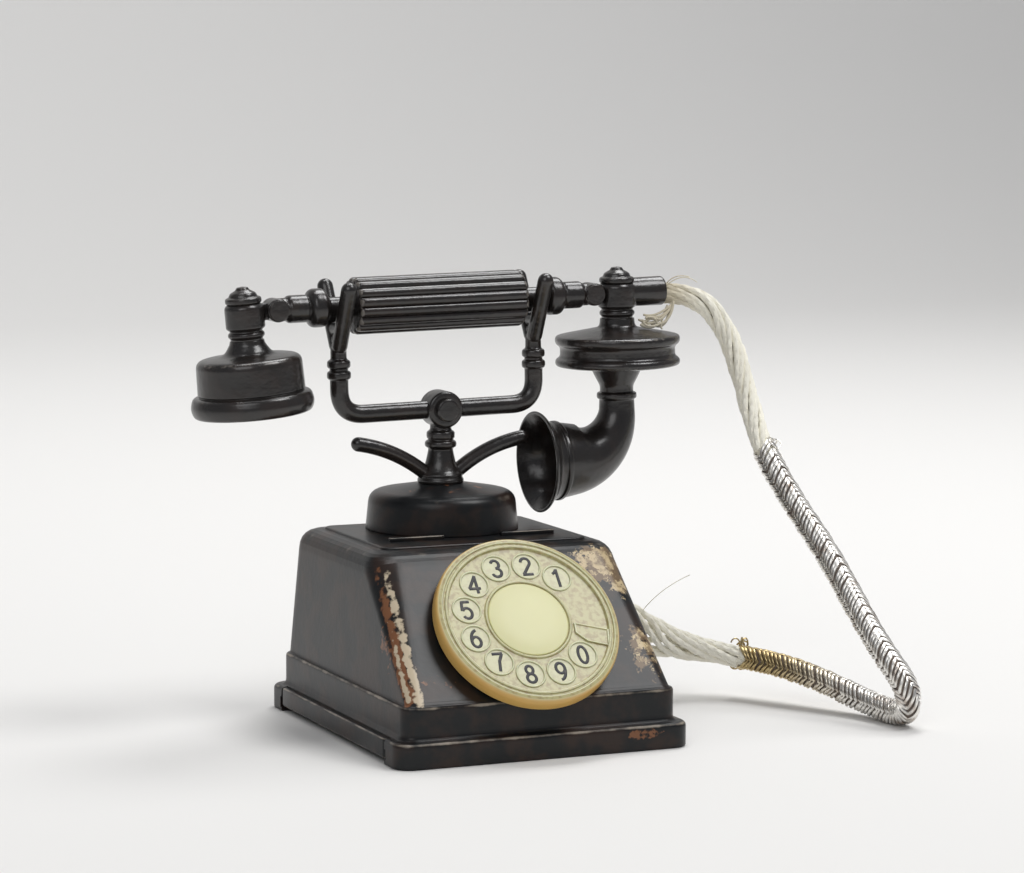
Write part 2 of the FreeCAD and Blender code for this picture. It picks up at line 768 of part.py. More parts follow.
def stud_washer():
    """Washer on the post's stud under the housing's top."""
    ring = turned_body("washer", [
        ("stud_radius + seat_gap", "0"),
        ("washer_radius", "0"),
        ("washer_radius", "washer_thickness"),
        ("stud_radius + seat_gap", "washer_thickness"),
    ])
    lift = size("%s - wall_thickness - washer_thickness" % TOP)
    finish(ring, "stud_washer", Placement(turret_spot + V(0, 0, lift), Rotation()))


def yoke_bar():
    """Round bar bent to a U, drilled for the hub's pin and for the forks' spigots."""
    body = new_body("yoke")
    path = outline(body, "XZ_Plane", "yoke_path", [
        (LEFT_ARM, "yoke_arm"),
        (LEFT_ARM, "yoke_bend", ROUND, "yoke_bend"),
        (LEFT_ARM + " + yoke_bend", "0"),
        (RIGHT_ARM + " - yoke_bend", "0", ROUND, "yoke_bend"),
        (RIGHT_ARM, "yoke_bend"),
        (RIGHT_ARM, "yoke_arm"),
    ], closed=False)
    section = circle_on(body, "XY_Plane", "yoke_section", LEFT_ARM, "0", "yoke_radius", "yoke_arm")
    pipe = body.newObject("PartDesign::AdditivePipe", "yoke_pipe")
    pipe.Profile = section
    pipe.Spine = (path, ["Edge%d" % number for number in range(1, 6)])
    holes = [cylinder("yoke_pin_way", "pin_radius + seat_gap", "yoke_radius * 4",
                      ("0", "-yoke_radius * 2", "0"),
                      V(0, 1, 0))]
    for side, place in (("left", LEFT_ARM), ("right", RIGHT_ARM)):
        holes.append(cylinder("spigot_way_" + side, "fork_spigot_radius + seat_gap", "fork_spigot + beyond",
                              (place, "0", "yoke_arm - fork_spigot")))
    finish(cut("yoke_whole", body, holes), "yoke_bar", on_cradle(0, 0))


def yoke_pin():
    """Rivet through hub and bar: broad flat head in front, small closed head behind."""
    corners = [
        ("0", "-hub_back - pin_tail"),
        ("pin_tail_top_radius", "-hub_back - pin_tail"),
        ("pin_tail_radius", "-hub_back"),
        ("pin_radius", "-hub_back"),
        ("pin_radius", "hub_front"),
        ("pin_head_radius", "hub_front"),
        ("pin_head_radius", "hub_front + pin_head - pin_chamfer"),
        ("pin_head_radius - pin_chamfer", "hub_front + pin_head"),
        ("0", "hub_front + pin_head"),
    ]
    body = turned_body("rivet_pin", corners)
    finish(body, "yoke_pin", Placement(turret_spot + V(0, 0, size(HUB)), Rotation(V(0, 0, 1), V(0, -1, 0))))


# Height of the fork's root over the bar, where both prongs meet
FORK_ROOT = "(handset_height - (neck_radius + prong_radius + neck_gap) / sin(prong_angle))"


def fork(side, place):
    """Ringed foot with two round prongs that spread to the front and the back."""
    name = "fork_" + side
    root = "(%s - yoke_arm)" % FORK_ROOT
    ring = "(fork_ring + fork_ring_gap)"
    corners = [
        ("0", "-fork_spigot + end_gap"),
        ("fork_spigot_radius", "-fork_spigot + end_gap"),
        ("fork_spigot_radius", "0"),
        ("yoke_radius", "0"),
        ("yoke_radius", "fork_ring_lift", ROUND, "fork_ring_round"),
        ("yoke_radius", "fork_ring_lift + fork_ring"),
        ("yoke_radius - joint_step", "fork_ring_lift + " + ring, ROUND, "fork_ring_round"),
        ("yoke_radius - joint_step", "fork_ring_lift + fork_ring + " + ring),
        ("prong_radius", "fork_ring_lift + 2 * " + ring),
        ("prong_radius", root),
        ("0", root),
    ]
    solids = [turned_body(name + "_foot", corners)]
    crotch = doc.addObject("Part::Sphere", name + "_crotch")
    solids.append(bind(crotch, Radius="crotch_radius", Placement__Base__z=root))
    angle = math.radians(size("prong_angle"))
    for end, sign in (("front", -1), ("back", 1)):
        towards = V(0, sign * math.sin(angle), math.cos(angle))
        solids.append(cylinder("%s_%s" % (name, end), "prong_radius", "prong_length",
                               ("0", "0", root), towards))
        tip = doc.addObject("Part::Sphere", "%s_%s_tip" % (name, end))
        solids.append(bind(tip, Radius="prong_radius",
                           Placement__Base__y="%d * prong_length * sin(prong_angle)" % sign,
                           Placement__Base__z="%s + prong_length * cos(prong_angle)" % root))
    finish(joined(name + "_whole", solids), name, on_cradle(place, size("yoke_arm")))


def forks():
    """One fork on each arm of the bar."""
    fork("left", size(LEFT_ARM))
    fork("right", size(RIGHT_ARM))


# Handset

KNUCKLE = "(neck_length + bead_width + collar_length + knuckle_reach)"
CAPSULE_FOOT = "(stem_bottom + stem_neck + capsule_cone + 2 * capsule_flange + capsule_waist + capsule_base)"
RING_FOOT = CAPSULE_FOOT[:-1] + " + horn_neck + horn_ring)"
HORN_AXIS = RING_FOOT[:-1] + " + horn_drop + horn_bend)"


def handset_frame(side, distance):
    """Place on the handset's axis at a distance from the grip's end, with +X pointing outwards."""
    if side == "right":
        return on_cradle(size("handset_offset") + half_grip + distance, size("handset_height"))
    return on_cradle(size("handset_offset") - half_grip - distance, size("handset_height"), 180)


def earpiece_frame():
    """Place of the earpiece's stem, which leans outwards about its knuckle rivet."""
    lean = Placement(V(0, 0, 0), Rotation(V(0, 1, 0), size("earpiece_lean")))
    reach = Placement(V(size("stem_reach - %s" % KNUCKLE), 0, 0), Rotation())
    return handset_frame("left", size(KNUCKLE)).multiply(lean).multiply(reach)


def handset_grip():
    """Grip with flutes along it and a bore for the rod."""
    body = new_body("grip")
    round_bar = circle_on(body, "YZ_Plane", "grip_circle", "0", "0", "grip_radius", "-grip_length / 2")
    pad(body, round_bar, "grip_pad", "grip_length")
    ends = [-half_grip, half_grip]
    round_edges(body, "grip_ends", "grip_round",
                lambda e: len(e.Vertexes) == 1 and min(abs(e.CenterOfMass.x - x) for x in ends) < POINT_SLACK)
    flute = circle_on(body, "YZ_Plane", "flute_circle", "0", "grip_radius", "flute_radius", "-grip_length")
    pocket = body.newObject("PartDesign::Pocket", "flute")
    pocket.Profile = flute
    pocket.Reversed = True
    bind(pocket, Length="grip_length * 2")
    doc.recompute()
    pattern = body.newObject("PartDesign::PolarPattern", "flutes")
    pattern.Originals = [pocket]
    pattern.Axis = ([item for item in body.Origin.OriginFeatures if item.Role == "X_Axis"][0], [""])
    pattern.Angle = 360.0
    bind(pattern, Occurrences="flute_count")
    body.Tip = pattern
    bore = cylinder("grip_bore", "rod_radius + seat_gap", "grip_length * 2",
                    ("-grip_length", "0", "0"), V(1, 0, 0))
    finish(cut("grip_whole", body, [bore]), "handset_grip",
           on_cradle(size("handset_offset"), size("handset_height")))


def handset_rod():
    """Rod through the grip's bore into both arms."""
    start = "(-grip_length / 2 - rod_engagement)"
    place = on_cradle(size("handset_offset"), size("handset_height"))
    rod = cylinder("rod", "rod_radius", "grip_length + 2 * rod_engagement",
                   (start, "0", "0"), V(1, 0, 0), place)
    finish(rod, "handset_rod")


def arm(side):
    """Neck, bead and collar turned in one, ending in a slotted knuckle."""
    name = "arm_" + side
    bead = "(neck_length + bead_width)"
    collar = "(neck_length + bead_width + collar_length)"
    corners = [
        ("rod_engagement", "0"),
        ("rod_engagement", "rod_radius + seat_gap"),
        ("0", "rod_radius + seat_gap"),
        ("0", "neck_radius"),
        ("neck_length", "neck_radius"),
        ("neck_length", "neck_radius + bead_step", ROUND, "bead_round"),
        (bead, "neck_radius + bead_step"),
        (bead + " + arm_groove", "collar_radius"),
        (collar, "collar_radius"),
        (collar + " + collar_chamfer", "knuckle_radius"),
        (KNUCKLE, "knuckle_radius"),
        (KNUCKLE, "0"),
    ]
    solids = [turned_body(name + "_turned", corners, "H_Axis"),
              cylinder(name + "_barrel", "knuckle_radius", "knuckle_width",
                       (KNUCKLE, "-knuckle_width / 2", "0"),
                       V(0, 1, 0))]
    slot = "(tongue_thickness / 2 + seat_gap)"
    tools = [box(name + "_slot", (KNUCKLE + " - tongue_radius - slot_gap", "-" + slot, "-knuckle_radius * 2"),
                 (KNUCKLE + " + knuckle_radius * 2", slot, "knuckle_radius * 2")),
             cylinder(name + "_rivet_way", "rivet_radius + seat_gap", "knuckle_width * 2",
                      (KNUCKLE, "-knuckle_width", "0"), V(0, 1, 0))]
    finish(cut(name + "_whole", joined(name + "_solid", solids), tools), name, handset_frame(side, 0))


def knuckle_rivets():
    """One flat-headed rivet in each knuckle."""
    corners = [
        ("0", "-knuckle_width / 2 - rivet_head"),
        ("rivet_head_radius", "-knuckle_width / 2 - rivet_head"),
        ("rivet_head_radius", "-knuckle_width / 2"),
        ("rivet_radius", "-knuckle_width / 2"),
        ("rivet_radius", "knuckle_width / 2"),
        ("rivet_head_radius", "knuckle_width / 2"),
        ("rivet_head_radius", "knuckle_width / 2 + rivet_head"),
        ("0", "knuckle_width / 2 + rivet_head"),
    ]
    pair = []
    for side in ("left", "right"):
        body = turned_body("rivet_" + side, corners)
        body.Placement = handset_frame(side, size(KNUCKLE)).multiply(
            Placement(V(0, 0, 0), Rotation(V(0, 0, 1), V(0, -1, 0))))
        pair.append(body)
    both = doc.addObject("Part::Compound", "rivet_pair")
    both.Links = pair
    finish(both, "knuckle_rivets")


def stem_solids(name):
    """Upright T piece with a tongue towards the arm; its axis is Z and the arm's axis is X."""
    corners = [
        ("0", "-%s - spigot_length + end_gap" % STEM_SHOULDER),
        ("spigot_radius", "-%s - spigot_length + end_gap" % STEM_SHOULDER),
        ("spigot_radius", "-" + STEM_SHOULDER),
        ("stem_neck_radius", "-" + STEM_SHOULDER),
        ("stem_neck_radius", "-stem_bottom - stem_bead_foot", ROUND, "stem_bead_round"),
        ("stem_neck_radius", "-stem_bottom - stem_bead_top"),
        ("stem_neck_radius", "-stem_bottom - stem_groove"),
        ("stem_radius", "-stem_bottom"),
        ("stem_radius", "stem_top - stem_edge_drop", ROUND, "stem_edge_round"),
        ("stem_radius - stem_edge_in", "stem_top"),
        ("finial_spigot + seat_gap", "stem_top"),
        ("finial_spigot + seat_gap", "stem_top - finial_spigot - end_gap"),
        ("0", "stem_top - finial_spigot - end_gap"),
    ]
    reach = "(stem_reach - %s)" % KNUCKLE
    half = "tongue_thickness / 2"
    return [
        turned_body(name + "_turned", corners),
        box(name + "_tongue", ("-" + reach, "-" + half, "-tongue_radius"),
            ("-stem_radius / 2", half, "tongue_radius")),
        cylinder(name + "_eye", "tongue_radius", "tongue_thickness",
                 ("-" + reach, "-" + half, "0"), V(0, 1, 0)),
    ]


def stem_tools(name):
    """Hole for the knuckle rivet."""
    reach = "(stem_reach - %s)" % KNUCKLE
    return [cylinder(name + "_rivet_way", "rivet_radius + seat_gap", "knuckle_width",
                     ("-" + reach, "-knuckle_width / 2", "0"), V(0, 1, 0))]


def stems():
    """Both T pieces; the right one has a socket for the cord."""
    ear = joined("ear_stem_solid", stem_solids("ear_stem"))
    finish(cut("ear_stem_whole", ear, stem_tools("ear_stem")), "earpiece_stem", earpiece_frame())
    start = "(stem_radius - socket_bite)"
    socket = cylinder("socket", "socket_radius", "socket_reach - " + start, (start, "0", "0"), V(1, 0, 0))
    way = cylinder("socket_way", "socket_bore", "socket_depth + beyond",
                   ("socket_reach - socket_depth", "0", "0"), V(1, 0, 0))
    seat = cylinder("mouth_finial_way", "finial_spigot + seat_gap", "stem_top * 2",
                    ("0", "0", "stem_top - finial_spigot - end_gap"))
    mouth = joined("mouth_stem_solid", stem_solids("mouth_stem") + [socket])
    finish(cut("mouth_stem_whole", mouth, stem_tools("mouth_stem") + [way, seat]), "mouthpiece_stem",
           handset_frame("right", size("stem_reach")))


def finial(label, frame):
    """Button with a rounded rim, a dome and a small tip."""
    rim = "(stem_top + finial_rim)"
    corners = [
        ("0", "stem_top - finial_spigot"),
        ("finial_spigot", "stem_top - finial_spigot"),
        ("finial_spigot", "stem_top"),
        ("finial_radius", "stem_top", ROUND, "finial_rim_round"),
        ("finial_radius", rim),
        ("finial_dome_radius", rim + " + finial_lip", ROUND, "finial_dome_round"),
        ("finial_tip_radius", "stem_top + finial_height - finial_tip", ROUND,
         "(finial_tip_radius ^ 2 + finial_tip ^ 2) / (2 * finial_tip)"),
        ("0", "stem_top + finial_height"),
    ]
    finish(turned_body(label + "_turned", corners), label, frame)


def earpiece_bell():
    """Receiver cup: flared neck, round shoulder, straight side and a thick rim, open below."""
    neck = "(stem_bottom + stem_neck)"
    shoulder = "(stem_bottom + stem_neck + bell_flare)"
    side = "(stem_bottom + stem_neck + bell_flare + bell_radius - bell_shoulder_radius)"
    lip = side[:-1] + " + bell_height - (bell_radius - bell_shoulder_radius))"
    foot = lip[:-1] + " + rim_height)"
    inner = "(bell_radius - bell_wall)"
    corners = [
        ("0", "-%s - spigot_length" % neck),
        ("spigot_radius + seat_gap", "-%s - spigot_length" % neck),
        ("spigot_radius + seat_gap", "-" + neck),
        ("stem_neck_radius + joint_step", "-" + neck, HOLLOW, "bell_flare_round"),
        ("bell_shoulder_radius", "-" + shoulder, ROUND, "bell_shoulder_round"),
        ("bell_radius", "-" + side),
        ("bell_radius + bell_draft", "-" + lip),
        ("bell_radius + bell_draft / 2", "-%s - bell_draft" % lip, ROUND, "rim_round"),
        ("rim_radius", "-" + foot),
        (inner + " + bell_mouth_draft", "-" + foot),
        (inner, "-%s - bell_wall" % side, HOLLOW, "bell_inner_round"),
        (inner + " - bell_wall", "-%s - bell_wall" % shoulder),
        ("0", "-%s - bell_wall" % shoulder),
    ]
    finish(turned_body("bell", corners), "earpiece_bell", earpiece_frame())


def mouthpiece_capsule():
    """Flat round box with a coned lid, two flanges and a hollow waist."""
    lid = "(stem_bottom + stem_neck + capsule_cone)"
    waist = "(stem_bottom + stem_neck + capsule_cone + capsule_flange)"
    lower = "(stem_bottom + stem_neck + capsule_cone + capsule_flange + capsule_waist)"
    rim = "(stem_bottom + stem_neck + capsule_cone + 2 * capsule_flange + capsule_waist)"
    corners = [
        ("0", "-%s - spigot_length" % STEM_SHOULDER),
        ("spigot_radius + seat_gap", "-%s - spigot_length" % STEM_SHOULDER),
        ("spigot_radius + seat_gap", "-" + STEM_SHOULDER),
        ("stem_neck_radius + capsule_neck_step", "-" + STEM_SHOULDER, HOLLOW, "capsule_neck_round"),
        ("stem_neck_radius + capsule_neck_spread", "-%s - capsule_neck_drop" % STEM_SHOULDER),
        ("capsule_radius - capsule_edge", "-%s + capsule_edge_rise" % lid, ROUND, "capsule_edge_round"),
        ("capsule_radius", "-%s - capsule_edge_drop" % lid),
        ("capsule_radius", "-" + waist, HOLLOW, "capsule_waist_round"),
        ("capsule_radius", "-" + lower),
        ("capsule_radius", "-%s + capsule_edge_drop" % rim, ROUND, "capsule_edge_round"),
        ("capsule_radius - capsule_edge", "-%s - capsule_foot_drop" % rim),
        ("horn_neck_radius + horn_neck_spread", "-" + CAPSULE_FOOT),
        ("spigot_radius + seat_gap", "-" + CAPSULE_FOOT),
        ("spigot_radius + seat_gap", "spigot_length - " + CAPSULE_FOOT),
        ("0", "spigot_length - " + CAPSULE_FOOT),
    ]
    finish(turned_body("capsule", corners), "mouthpiece_capsule", handset_frame("right", size("stem_reach")))


def horn_section(number, spot, angle, radius):
    """Circle across the horn's axis, after the axis has turned by an angle from straight down."""
    circle = doc.addObject("Part::Circle", "horn_section_%d" % number)
    circle.Placement = Placement(spot, Rotation(V(0, 1, 0), angle))
    return bind(circle, Radius=radius)


def mouthpiece_horn():
    """Ringed neck, a pipe that widens through a quarter bend, and a flared mouth with a hollow."""
    ring_top = CAPSULE_FOOT[:-1] + " + horn_neck)"
    neck = turned_body("horn_neck_turned", [
        ("0", "spigot_length - end_gap - " + CAPSULE_FOOT),
        ("spigot_radius", "spigot_length - end_gap - " + CAPSULE_FOOT),
        ("spigot_radius", "-" + CAPSULE_FOOT),
        ("horn_neck_radius + horn_neck_spread", "-" + CAPSULE_FOOT, HOLLOW, "horn_neck_round"),
        ("horn_neck_radius", "-%s - horn_neck / 2" % CAPSULE_FOOT),
        ("horn_neck_radius", "-" + ring_top, ROUND, "horn_ring_round"),
        ("horn_neck_radius", "-" + RING_FOOT),
        ("0", "-" + RING_FOOT),
    ])
    bend = size("horn_bend")
    drop = size(RING_FOOT) + size("horn_drop")
    swollen = "(horn_neck_radius + horn_swell)"
    sections = [horn_section(0, V(0, 0, size("merge") - size(RING_FOOT)), 0, "horn_neck_radius"),
                horn_section(1, V(0, 0, -drop), 0, swollen)]
    for number, share in enumerate(BEND_SHARES, start=2):
        turn = math.radians(QUARTER * share)
        spot = V(bend * (math.cos(turn) - 1), 0, -drop - bend * math.sin(turn))
        radius = "%s + (horn_root_radius - %s) * %s" % (swollen, swollen, share)
        sections.append(horn_section(number, spot, QUARTER * share, radius))
    tail = V(-bend - size("horn_straight"), 0, -drop - bend)
    sections.append(horn_section(len(sections), tail, QUARTER, "horn_bell_radius"))
    pipe = doc.addObject("Part::Loft", "horn_pipe")
    pipe.Sections = sections
    pipe.Solid = True
    mouth = "(horn_bend + horn_straight + horn_flare)"
    start = "(horn_bend + horn_straight)"
    flare = turned_body("horn_flare_turned", [
        ("merge - " + start, "0"),
        ("merge - " + start, "horn_bell_radius - joint_step"),
        ("-" + start, "horn_bell_radius", ROUND, "horn_bead_round"),
        ("-%s - horn_bead" % start, "horn_bell_radius"),
        ("-%s - horn_bead - merge" % start, "horn_bell_radius - joint_step", HOLLOW, "horn_flare_round"),
        ("horn_lip - " + mouth, "horn_mouth_radius", ROUND, "horn_lip_round"),
        ("-" + mouth, "horn_mouth_radius - horn_lip_in"),
        ("-" + mouth, "0"),
    ], "H_Axis")
    dish = turned_body("horn_dish", [
        ("-%s - beyond" % mouth, "0"),
        ("-%s - beyond" % mouth, "horn_mouth_radius - horn_lip_flat"),
        ("-" + mouth, "horn_mouth_radius - horn_lip_flat", HOLLOW, "horn_dish_round"),
        ("-" + start, "horn_bell_radius - horn_wall"),
        ("-horn_bend", "horn_root_radius - horn_root_wall", ROUND, "horn_root_radius"),
        ("horn_dish_end - horn_bend", "0"),
    ], "H_Axis")
    axis = Placement(V(0, 0, -size(HORN_AXIS)), Rotation())
    flare.Placement = axis
    dish.Placement = axis
    whole = cut("horn_whole", joined("horn_solid", [neck, pipe, flare]), [dish])
    finish(whole, "mouthpiece_horn", handset_frame("right", size("stem_reach")))


# Dial

FACE = "(dial_gap + dial_thickness - dial_sink)"


def dial_disc():
    """Round dial with a raised rim, ten raised rings, a finger stop and a seat for its cap."""
    front = "(dial_gap + dial_thickness)"
    seat = "(dial_gap + cap_seat)"
    body = turned_body("dial", [
        ("pivot_radius + run_gap", "dial_gap"),
        ("dial_radius - dial_round", "dial_gap", ROUND, "dial_round"),
        ("dial_radius", "dial_gap + dial_round"),
        ("dial_radius", front + " - dial_round", ROUND, "dial_round"),
        ("dial_radius - dial_round", front),
        ("dial_radius - dial_rim", front),
        ("dial_radius - dial_rim - dial_sink / 2", FACE),
        ("cap_radius + ring_width + seat_gap", FACE),
        ("cap_radius + ring_width + seat_gap", FACE + " + ring_height"),
        ("cap_radius + seat_gap", FACE + " + ring_height"),
        ("cap_radius + seat_gap", seat),
        ("pivot_radius + run_gap", seat),
    ])
    rings = sketch_on(body, "XY_Plane", "ring", FACE + " - ring_sink")
    angle = math.radians(size("first_ring"))
    spot = V(size("ring_circle") * math.cos(angle), size("ring_circle") * math.sin(angle), 0)
    for number, radius in enumerate(("ring_radius", "ring_radius - ring_width")):
        rings.addGeometry(Part.Circle(spot, V(0, 0, 1), size(radius)))
        for kind, way in (("DistanceX", "cos"), ("DistanceY", "sin")):
            place = "ring_circle * %s(first_ring)" % way
            held = rings.addConstraint(Sketcher.Constraint(kind, -1, 1, number, 3, size(place)))
            rings.setExpression("Constraints[%d]" % held, words(place))
        held = rings.addConstraint(Sketcher.Constraint("Radius", number, size(radius)))
        rings.setExpression("Constraints[%d]" % held, words(radius))
    ridge = pad(body, rings, "ring_pad", "ring_height + ring_sink")
    doc.recompute()
    pattern = body.newObject("PartDesign::PolarPattern", "rings")
    pattern.Originals = [ridge]
    pattern.Axis = ([item for item in body.Origin.OriginFeatures if item.Role == "Z_Axis"][0], [""])
    bind(pattern, Occurrences="ring_count", Angle="ring_pitch * (ring_count - 1)")
    body.Tip = pattern
    stop = box("finger_stop", ("cap_radius + stop_start", "-stop_width / 2", FACE + " - ring_sink"),
               ("dial_radius - dial_rim", "stop_width / 2", FACE + " + stop_height"),
               Placement(V(0, 0, 0), Rotation(V(0, 0, 1), size("stop_angle"))))
    finish(joined("dial_whole", [body, stop]), "dial_disc", wall_frame())


def dial_cap():
    """Smooth round centre, hollow over the pivot's head."""
    seat = "(dial_gap + cap_seat)"
    under = "(dial_gap + cap_seat + run_gap + pivot_head + dial_gap)"
    body = turned_body("cap", [
        ("pivot_head_radius + dial_gap", seat),
        ("cap_radius", seat),
        ("cap_radius", FACE + " + ring_height", ROUND, "(cap_radius ^ 2 + cap_dome ^ 2) / (2 * cap_dome)"),
        ("0", FACE + " + ring_height + cap_dome"),
        ("0", under),
        ("pivot_head_radius + dial_gap", under),
    ])
    finish(body, "dial_cap", wall_frame())


def dial_pivot():
    """Headed pin through the dial and the front wall, with a push-on nut behind the wall."""
    head = "(dial_gap + cap_seat + run_gap)"
    tail = "(wall_thickness + nut_thickness + pivot_tail)"
    pin = turned_body("pivot", [
        ("0", "-" + tail),
        ("pivot_radius", "-" + tail),
        ("pivot_radius", head),
        ("pivot_head_radius", head),
        ("pivot_head_radius", head + " + pivot_head"),
        ("0", head + " + pivot_head"),
    ])
    finish(pin, "dial_pivot", wall_frame())
    nut = turned_body("nut", [
        ("pivot_radius", "-wall_thickness - nut_thickness"),
        ("nut_radius", "-wall_thickness - nut_thickness"),
        ("nut_radius", "-wall_thickness - run_gap"),
        ("pivot_radius", "-wall_thickness - run_gap"),
    ])
    finish(nut, "dial_nut", wall_frame())


# Cord

def route_edges(points):
    """Straight runs, each with its start and end, and the tangent arcs between them.

    Each arc is as large as its two runs allow.
    """
    lengths = [(after - before).Length for before, after in zip(points, points[1:])]
    runs = []
    arcs = []
    start = points[0]
    for i in range(1, len(points) - 1):
        back = (points[i - 1] - points[i]).normalize()
        ahead = (points[i + 1] - points[i]).normalize()
        turn = math.pi - back.getAngle(ahead)
        trim = ARC_SHARE * min(lengths[i - 1], lengths[i])
        radius = trim / math.tan(turn / 2)
        inwards = (back + ahead).normalize()
        middle = points[i] + inwards * (radius / math.cos(turn / 2) - radius)
        end = points[i] + back * trim
        leave = points[i] + ahead * trim
        runs.append((start, end))
        arcs.append(Part.Arc(end, middle, leave).toShape())
        print("cord corner %d: turn %.0f degrees, radius %.1f" % (i, math.degrees(turn), radius))
        start = leave
    runs.append((start, points[-1]))
    return runs, arcs


def tube(label, edges, radius):
    """Round tube along a wire, whose volume is compared with its section times its length."""
    wire = Part.Wire(edges)
    first = edges[0]
    ring = Part.Wire(Part.makeCircle(radius, first.valueAt(first.FirstParameter),
                                     first.tangentAt(first.FirstParameter)))
    solid = wire.makePipeShell([ring], True, False)
    expected = math.pi * radius * radius * wire.Length
    print("%s: %.1f mm long, volume %.1f of %.1f" % (label, wire.Length, solid.Volume, expected))
    if abs(solid.Volume - expected) > VOLUME_SLACK * expected:
        raise RuntimeError(label + " has the wrong volume")
    item = doc.addObject("Part::Feature", label)
    item.Shape = solid
    finish(item, label)


def cord():
    """Bare strands out of the handset's socket, a wound stretch that folds on the floor, strands again."""
    socket = handset_frame("right", size("stem_reach"))
    bottom = socket.multVec(V(size("socket_reach - socket_depth") + size("seat_gap"), 0, 0))
    wall = "(%s - (cord_height - %s) * tan(side_taper) - wall_thickness - knot_gap)" % (WALL_HALF, BAND_TOP)
    knot_face = V(size(wall), size("cord_place"), size("cord_height"))
    lead = knot_face + V(size("cord_lead"), 0, 0)
    points = [bottom] + [V(*point) for point in UPPER_ROUTE + WRAP_ROUTE + LOWER_ROUTE] + [lead, knot_face]
    runs, arcs = route_edges(points)
    breaks = (len(UPPER_ROUTE), len(UPPER_ROUTE) + len(WRAP_ROUTE))
    stretches = [[]]
    for i, (start, end) in enumerate(runs):
        if i in breaks:
            middle = (start + end) * 0.5
            stretches[-1].append(Part.LineSegment(start, middle).toShape())
            stretches.append([])
            start = middle
        stretches[-1].append(Part.LineSegment(start, end).toShape())
        stretches[-1].extend(arcs[i:i + 1])
    radii = (("cord_upper", "strand_radius"), ("cord_wrap", "wrap_radius"), ("cord_lower", "strand_radius"))
    for (label, radius), edges in zip(radii, stretches):
        tube(label, edges, size(radius))
    knot = turned_body("knot", [
        ("0", "0"),
        ("knot_round", "0", ROUND, "knot_round"),
        ("knot_round", "knot_height", ROUND, "knot_round"),
        ("knot_tail_radius", "knot_length"),
        ("0", "knot_length"),
    ])
    finish(knot, "cord_knot", Placement(knot_face, Rotation(V(0, 0, 1), V(-1, 0, 0))))


def main():
    """Builds, tests and writes every piece."""
    base_housing()
    bottom_tray()
    turret_cap()
    cradle_post()
    cradle_wings()
    stud_washer()
    yoke_bar()
    yoke_pin()
    forks()
    handset_grip()
    handset_rod()
    arm("left")
    arm("right")
    knuckle_rivets()
    stems()
    finial("earpiece_finial", earpiece_frame())
    finial("mouthpiece_finial", handset_frame("right", size("stem_reach")))
    earpiece_bell()
    mouthpiece_capsule()
    mouthpiece_horn()
    dial_disc()
    dial_cap()
    dial_pivot()
    cord()
    doc.recompute()
    failed = [item.Name for item in doc.Objects if "Invalid" in item.State or "Error" in item.State]
    if failed:
        raise RuntimeError("failed to build: " + ", ".join(failed))
    for piece in pieces:
        if piece.Shape.isNull() or not piece.Shape.isValid() or not piece.Shape.Solids:
            raise RuntimeError(piece.Label + " has no valid solid")
    os.makedirs("parts", exist_ok=True)
    for piece in pieces:
        piece.Shape.exportStep("parts/%s.step" % piece.Label)
        print("%-20s %d solids, %.1f cubic mm" % (piece.Label, len(piece.Shape.Solids), piece.Shape.Volume))


main()
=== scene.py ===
"""Visual model of a die-cast miniature desk telephone, laid out as an add-on.

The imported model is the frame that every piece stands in. Surfaces are worked out in millimetres as grids of
points, each a function of two parameters, and put into the frame in metres.
"""

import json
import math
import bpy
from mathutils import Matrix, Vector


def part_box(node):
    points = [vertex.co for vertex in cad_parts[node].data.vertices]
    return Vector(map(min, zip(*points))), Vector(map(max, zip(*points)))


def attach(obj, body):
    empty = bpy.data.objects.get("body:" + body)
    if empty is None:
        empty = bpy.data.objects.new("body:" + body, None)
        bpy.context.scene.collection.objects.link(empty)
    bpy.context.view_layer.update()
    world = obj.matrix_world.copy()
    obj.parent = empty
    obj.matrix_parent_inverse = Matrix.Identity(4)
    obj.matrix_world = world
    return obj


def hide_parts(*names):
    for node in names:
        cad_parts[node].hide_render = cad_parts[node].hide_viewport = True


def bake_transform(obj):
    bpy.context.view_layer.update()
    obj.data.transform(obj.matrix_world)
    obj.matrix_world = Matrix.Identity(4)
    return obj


bl_info = {
    "name": "Miniature desk telephone",
    "version": (1, 0, 0),
    "blender": (4, 5, 0),
    "location": "View3D > Sidebar > Telephone",
    "description": "Builds the looks of a die-cast miniature telephone round its packed model",
    "category": "Object",
}

import bmesh
import bpy
import numpy as np
from bpy.props import FloatProperty, FloatVectorProperty, IntProperty, PointerProperty
from bpy.types import Operator, Panel, PropertyGroup
from mathutils import Matrix, Vector

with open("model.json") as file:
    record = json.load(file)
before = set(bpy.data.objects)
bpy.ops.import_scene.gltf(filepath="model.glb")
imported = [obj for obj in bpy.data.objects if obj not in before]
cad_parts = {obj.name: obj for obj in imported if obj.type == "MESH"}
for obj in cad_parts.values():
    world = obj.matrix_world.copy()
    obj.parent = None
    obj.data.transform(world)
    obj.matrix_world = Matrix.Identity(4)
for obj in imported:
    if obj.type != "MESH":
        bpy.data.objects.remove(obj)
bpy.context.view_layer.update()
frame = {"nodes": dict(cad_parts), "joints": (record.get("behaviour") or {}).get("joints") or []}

MM = 0.001
FULL_TURN = 2 * math.pi
# Edges that turn by more than this stay hard
SHARP = math.radians(40)
# Largest share of a side that a soft corner takes, and share of it that stays flat beside the corner
CORNER_SHARE = 0.48
FLAT_SHARE = 0.015
# Shares of the way from one row of a table to the next at which its surface has points
ROW_SHARES = (0.0, 0.03, 0.97)


# Places, as 4 x 4 matrices in millimetres

def moved(x, y, z):
    """Matrix of a move."""
    return np.array(Matrix.Translation((x, y, z)))


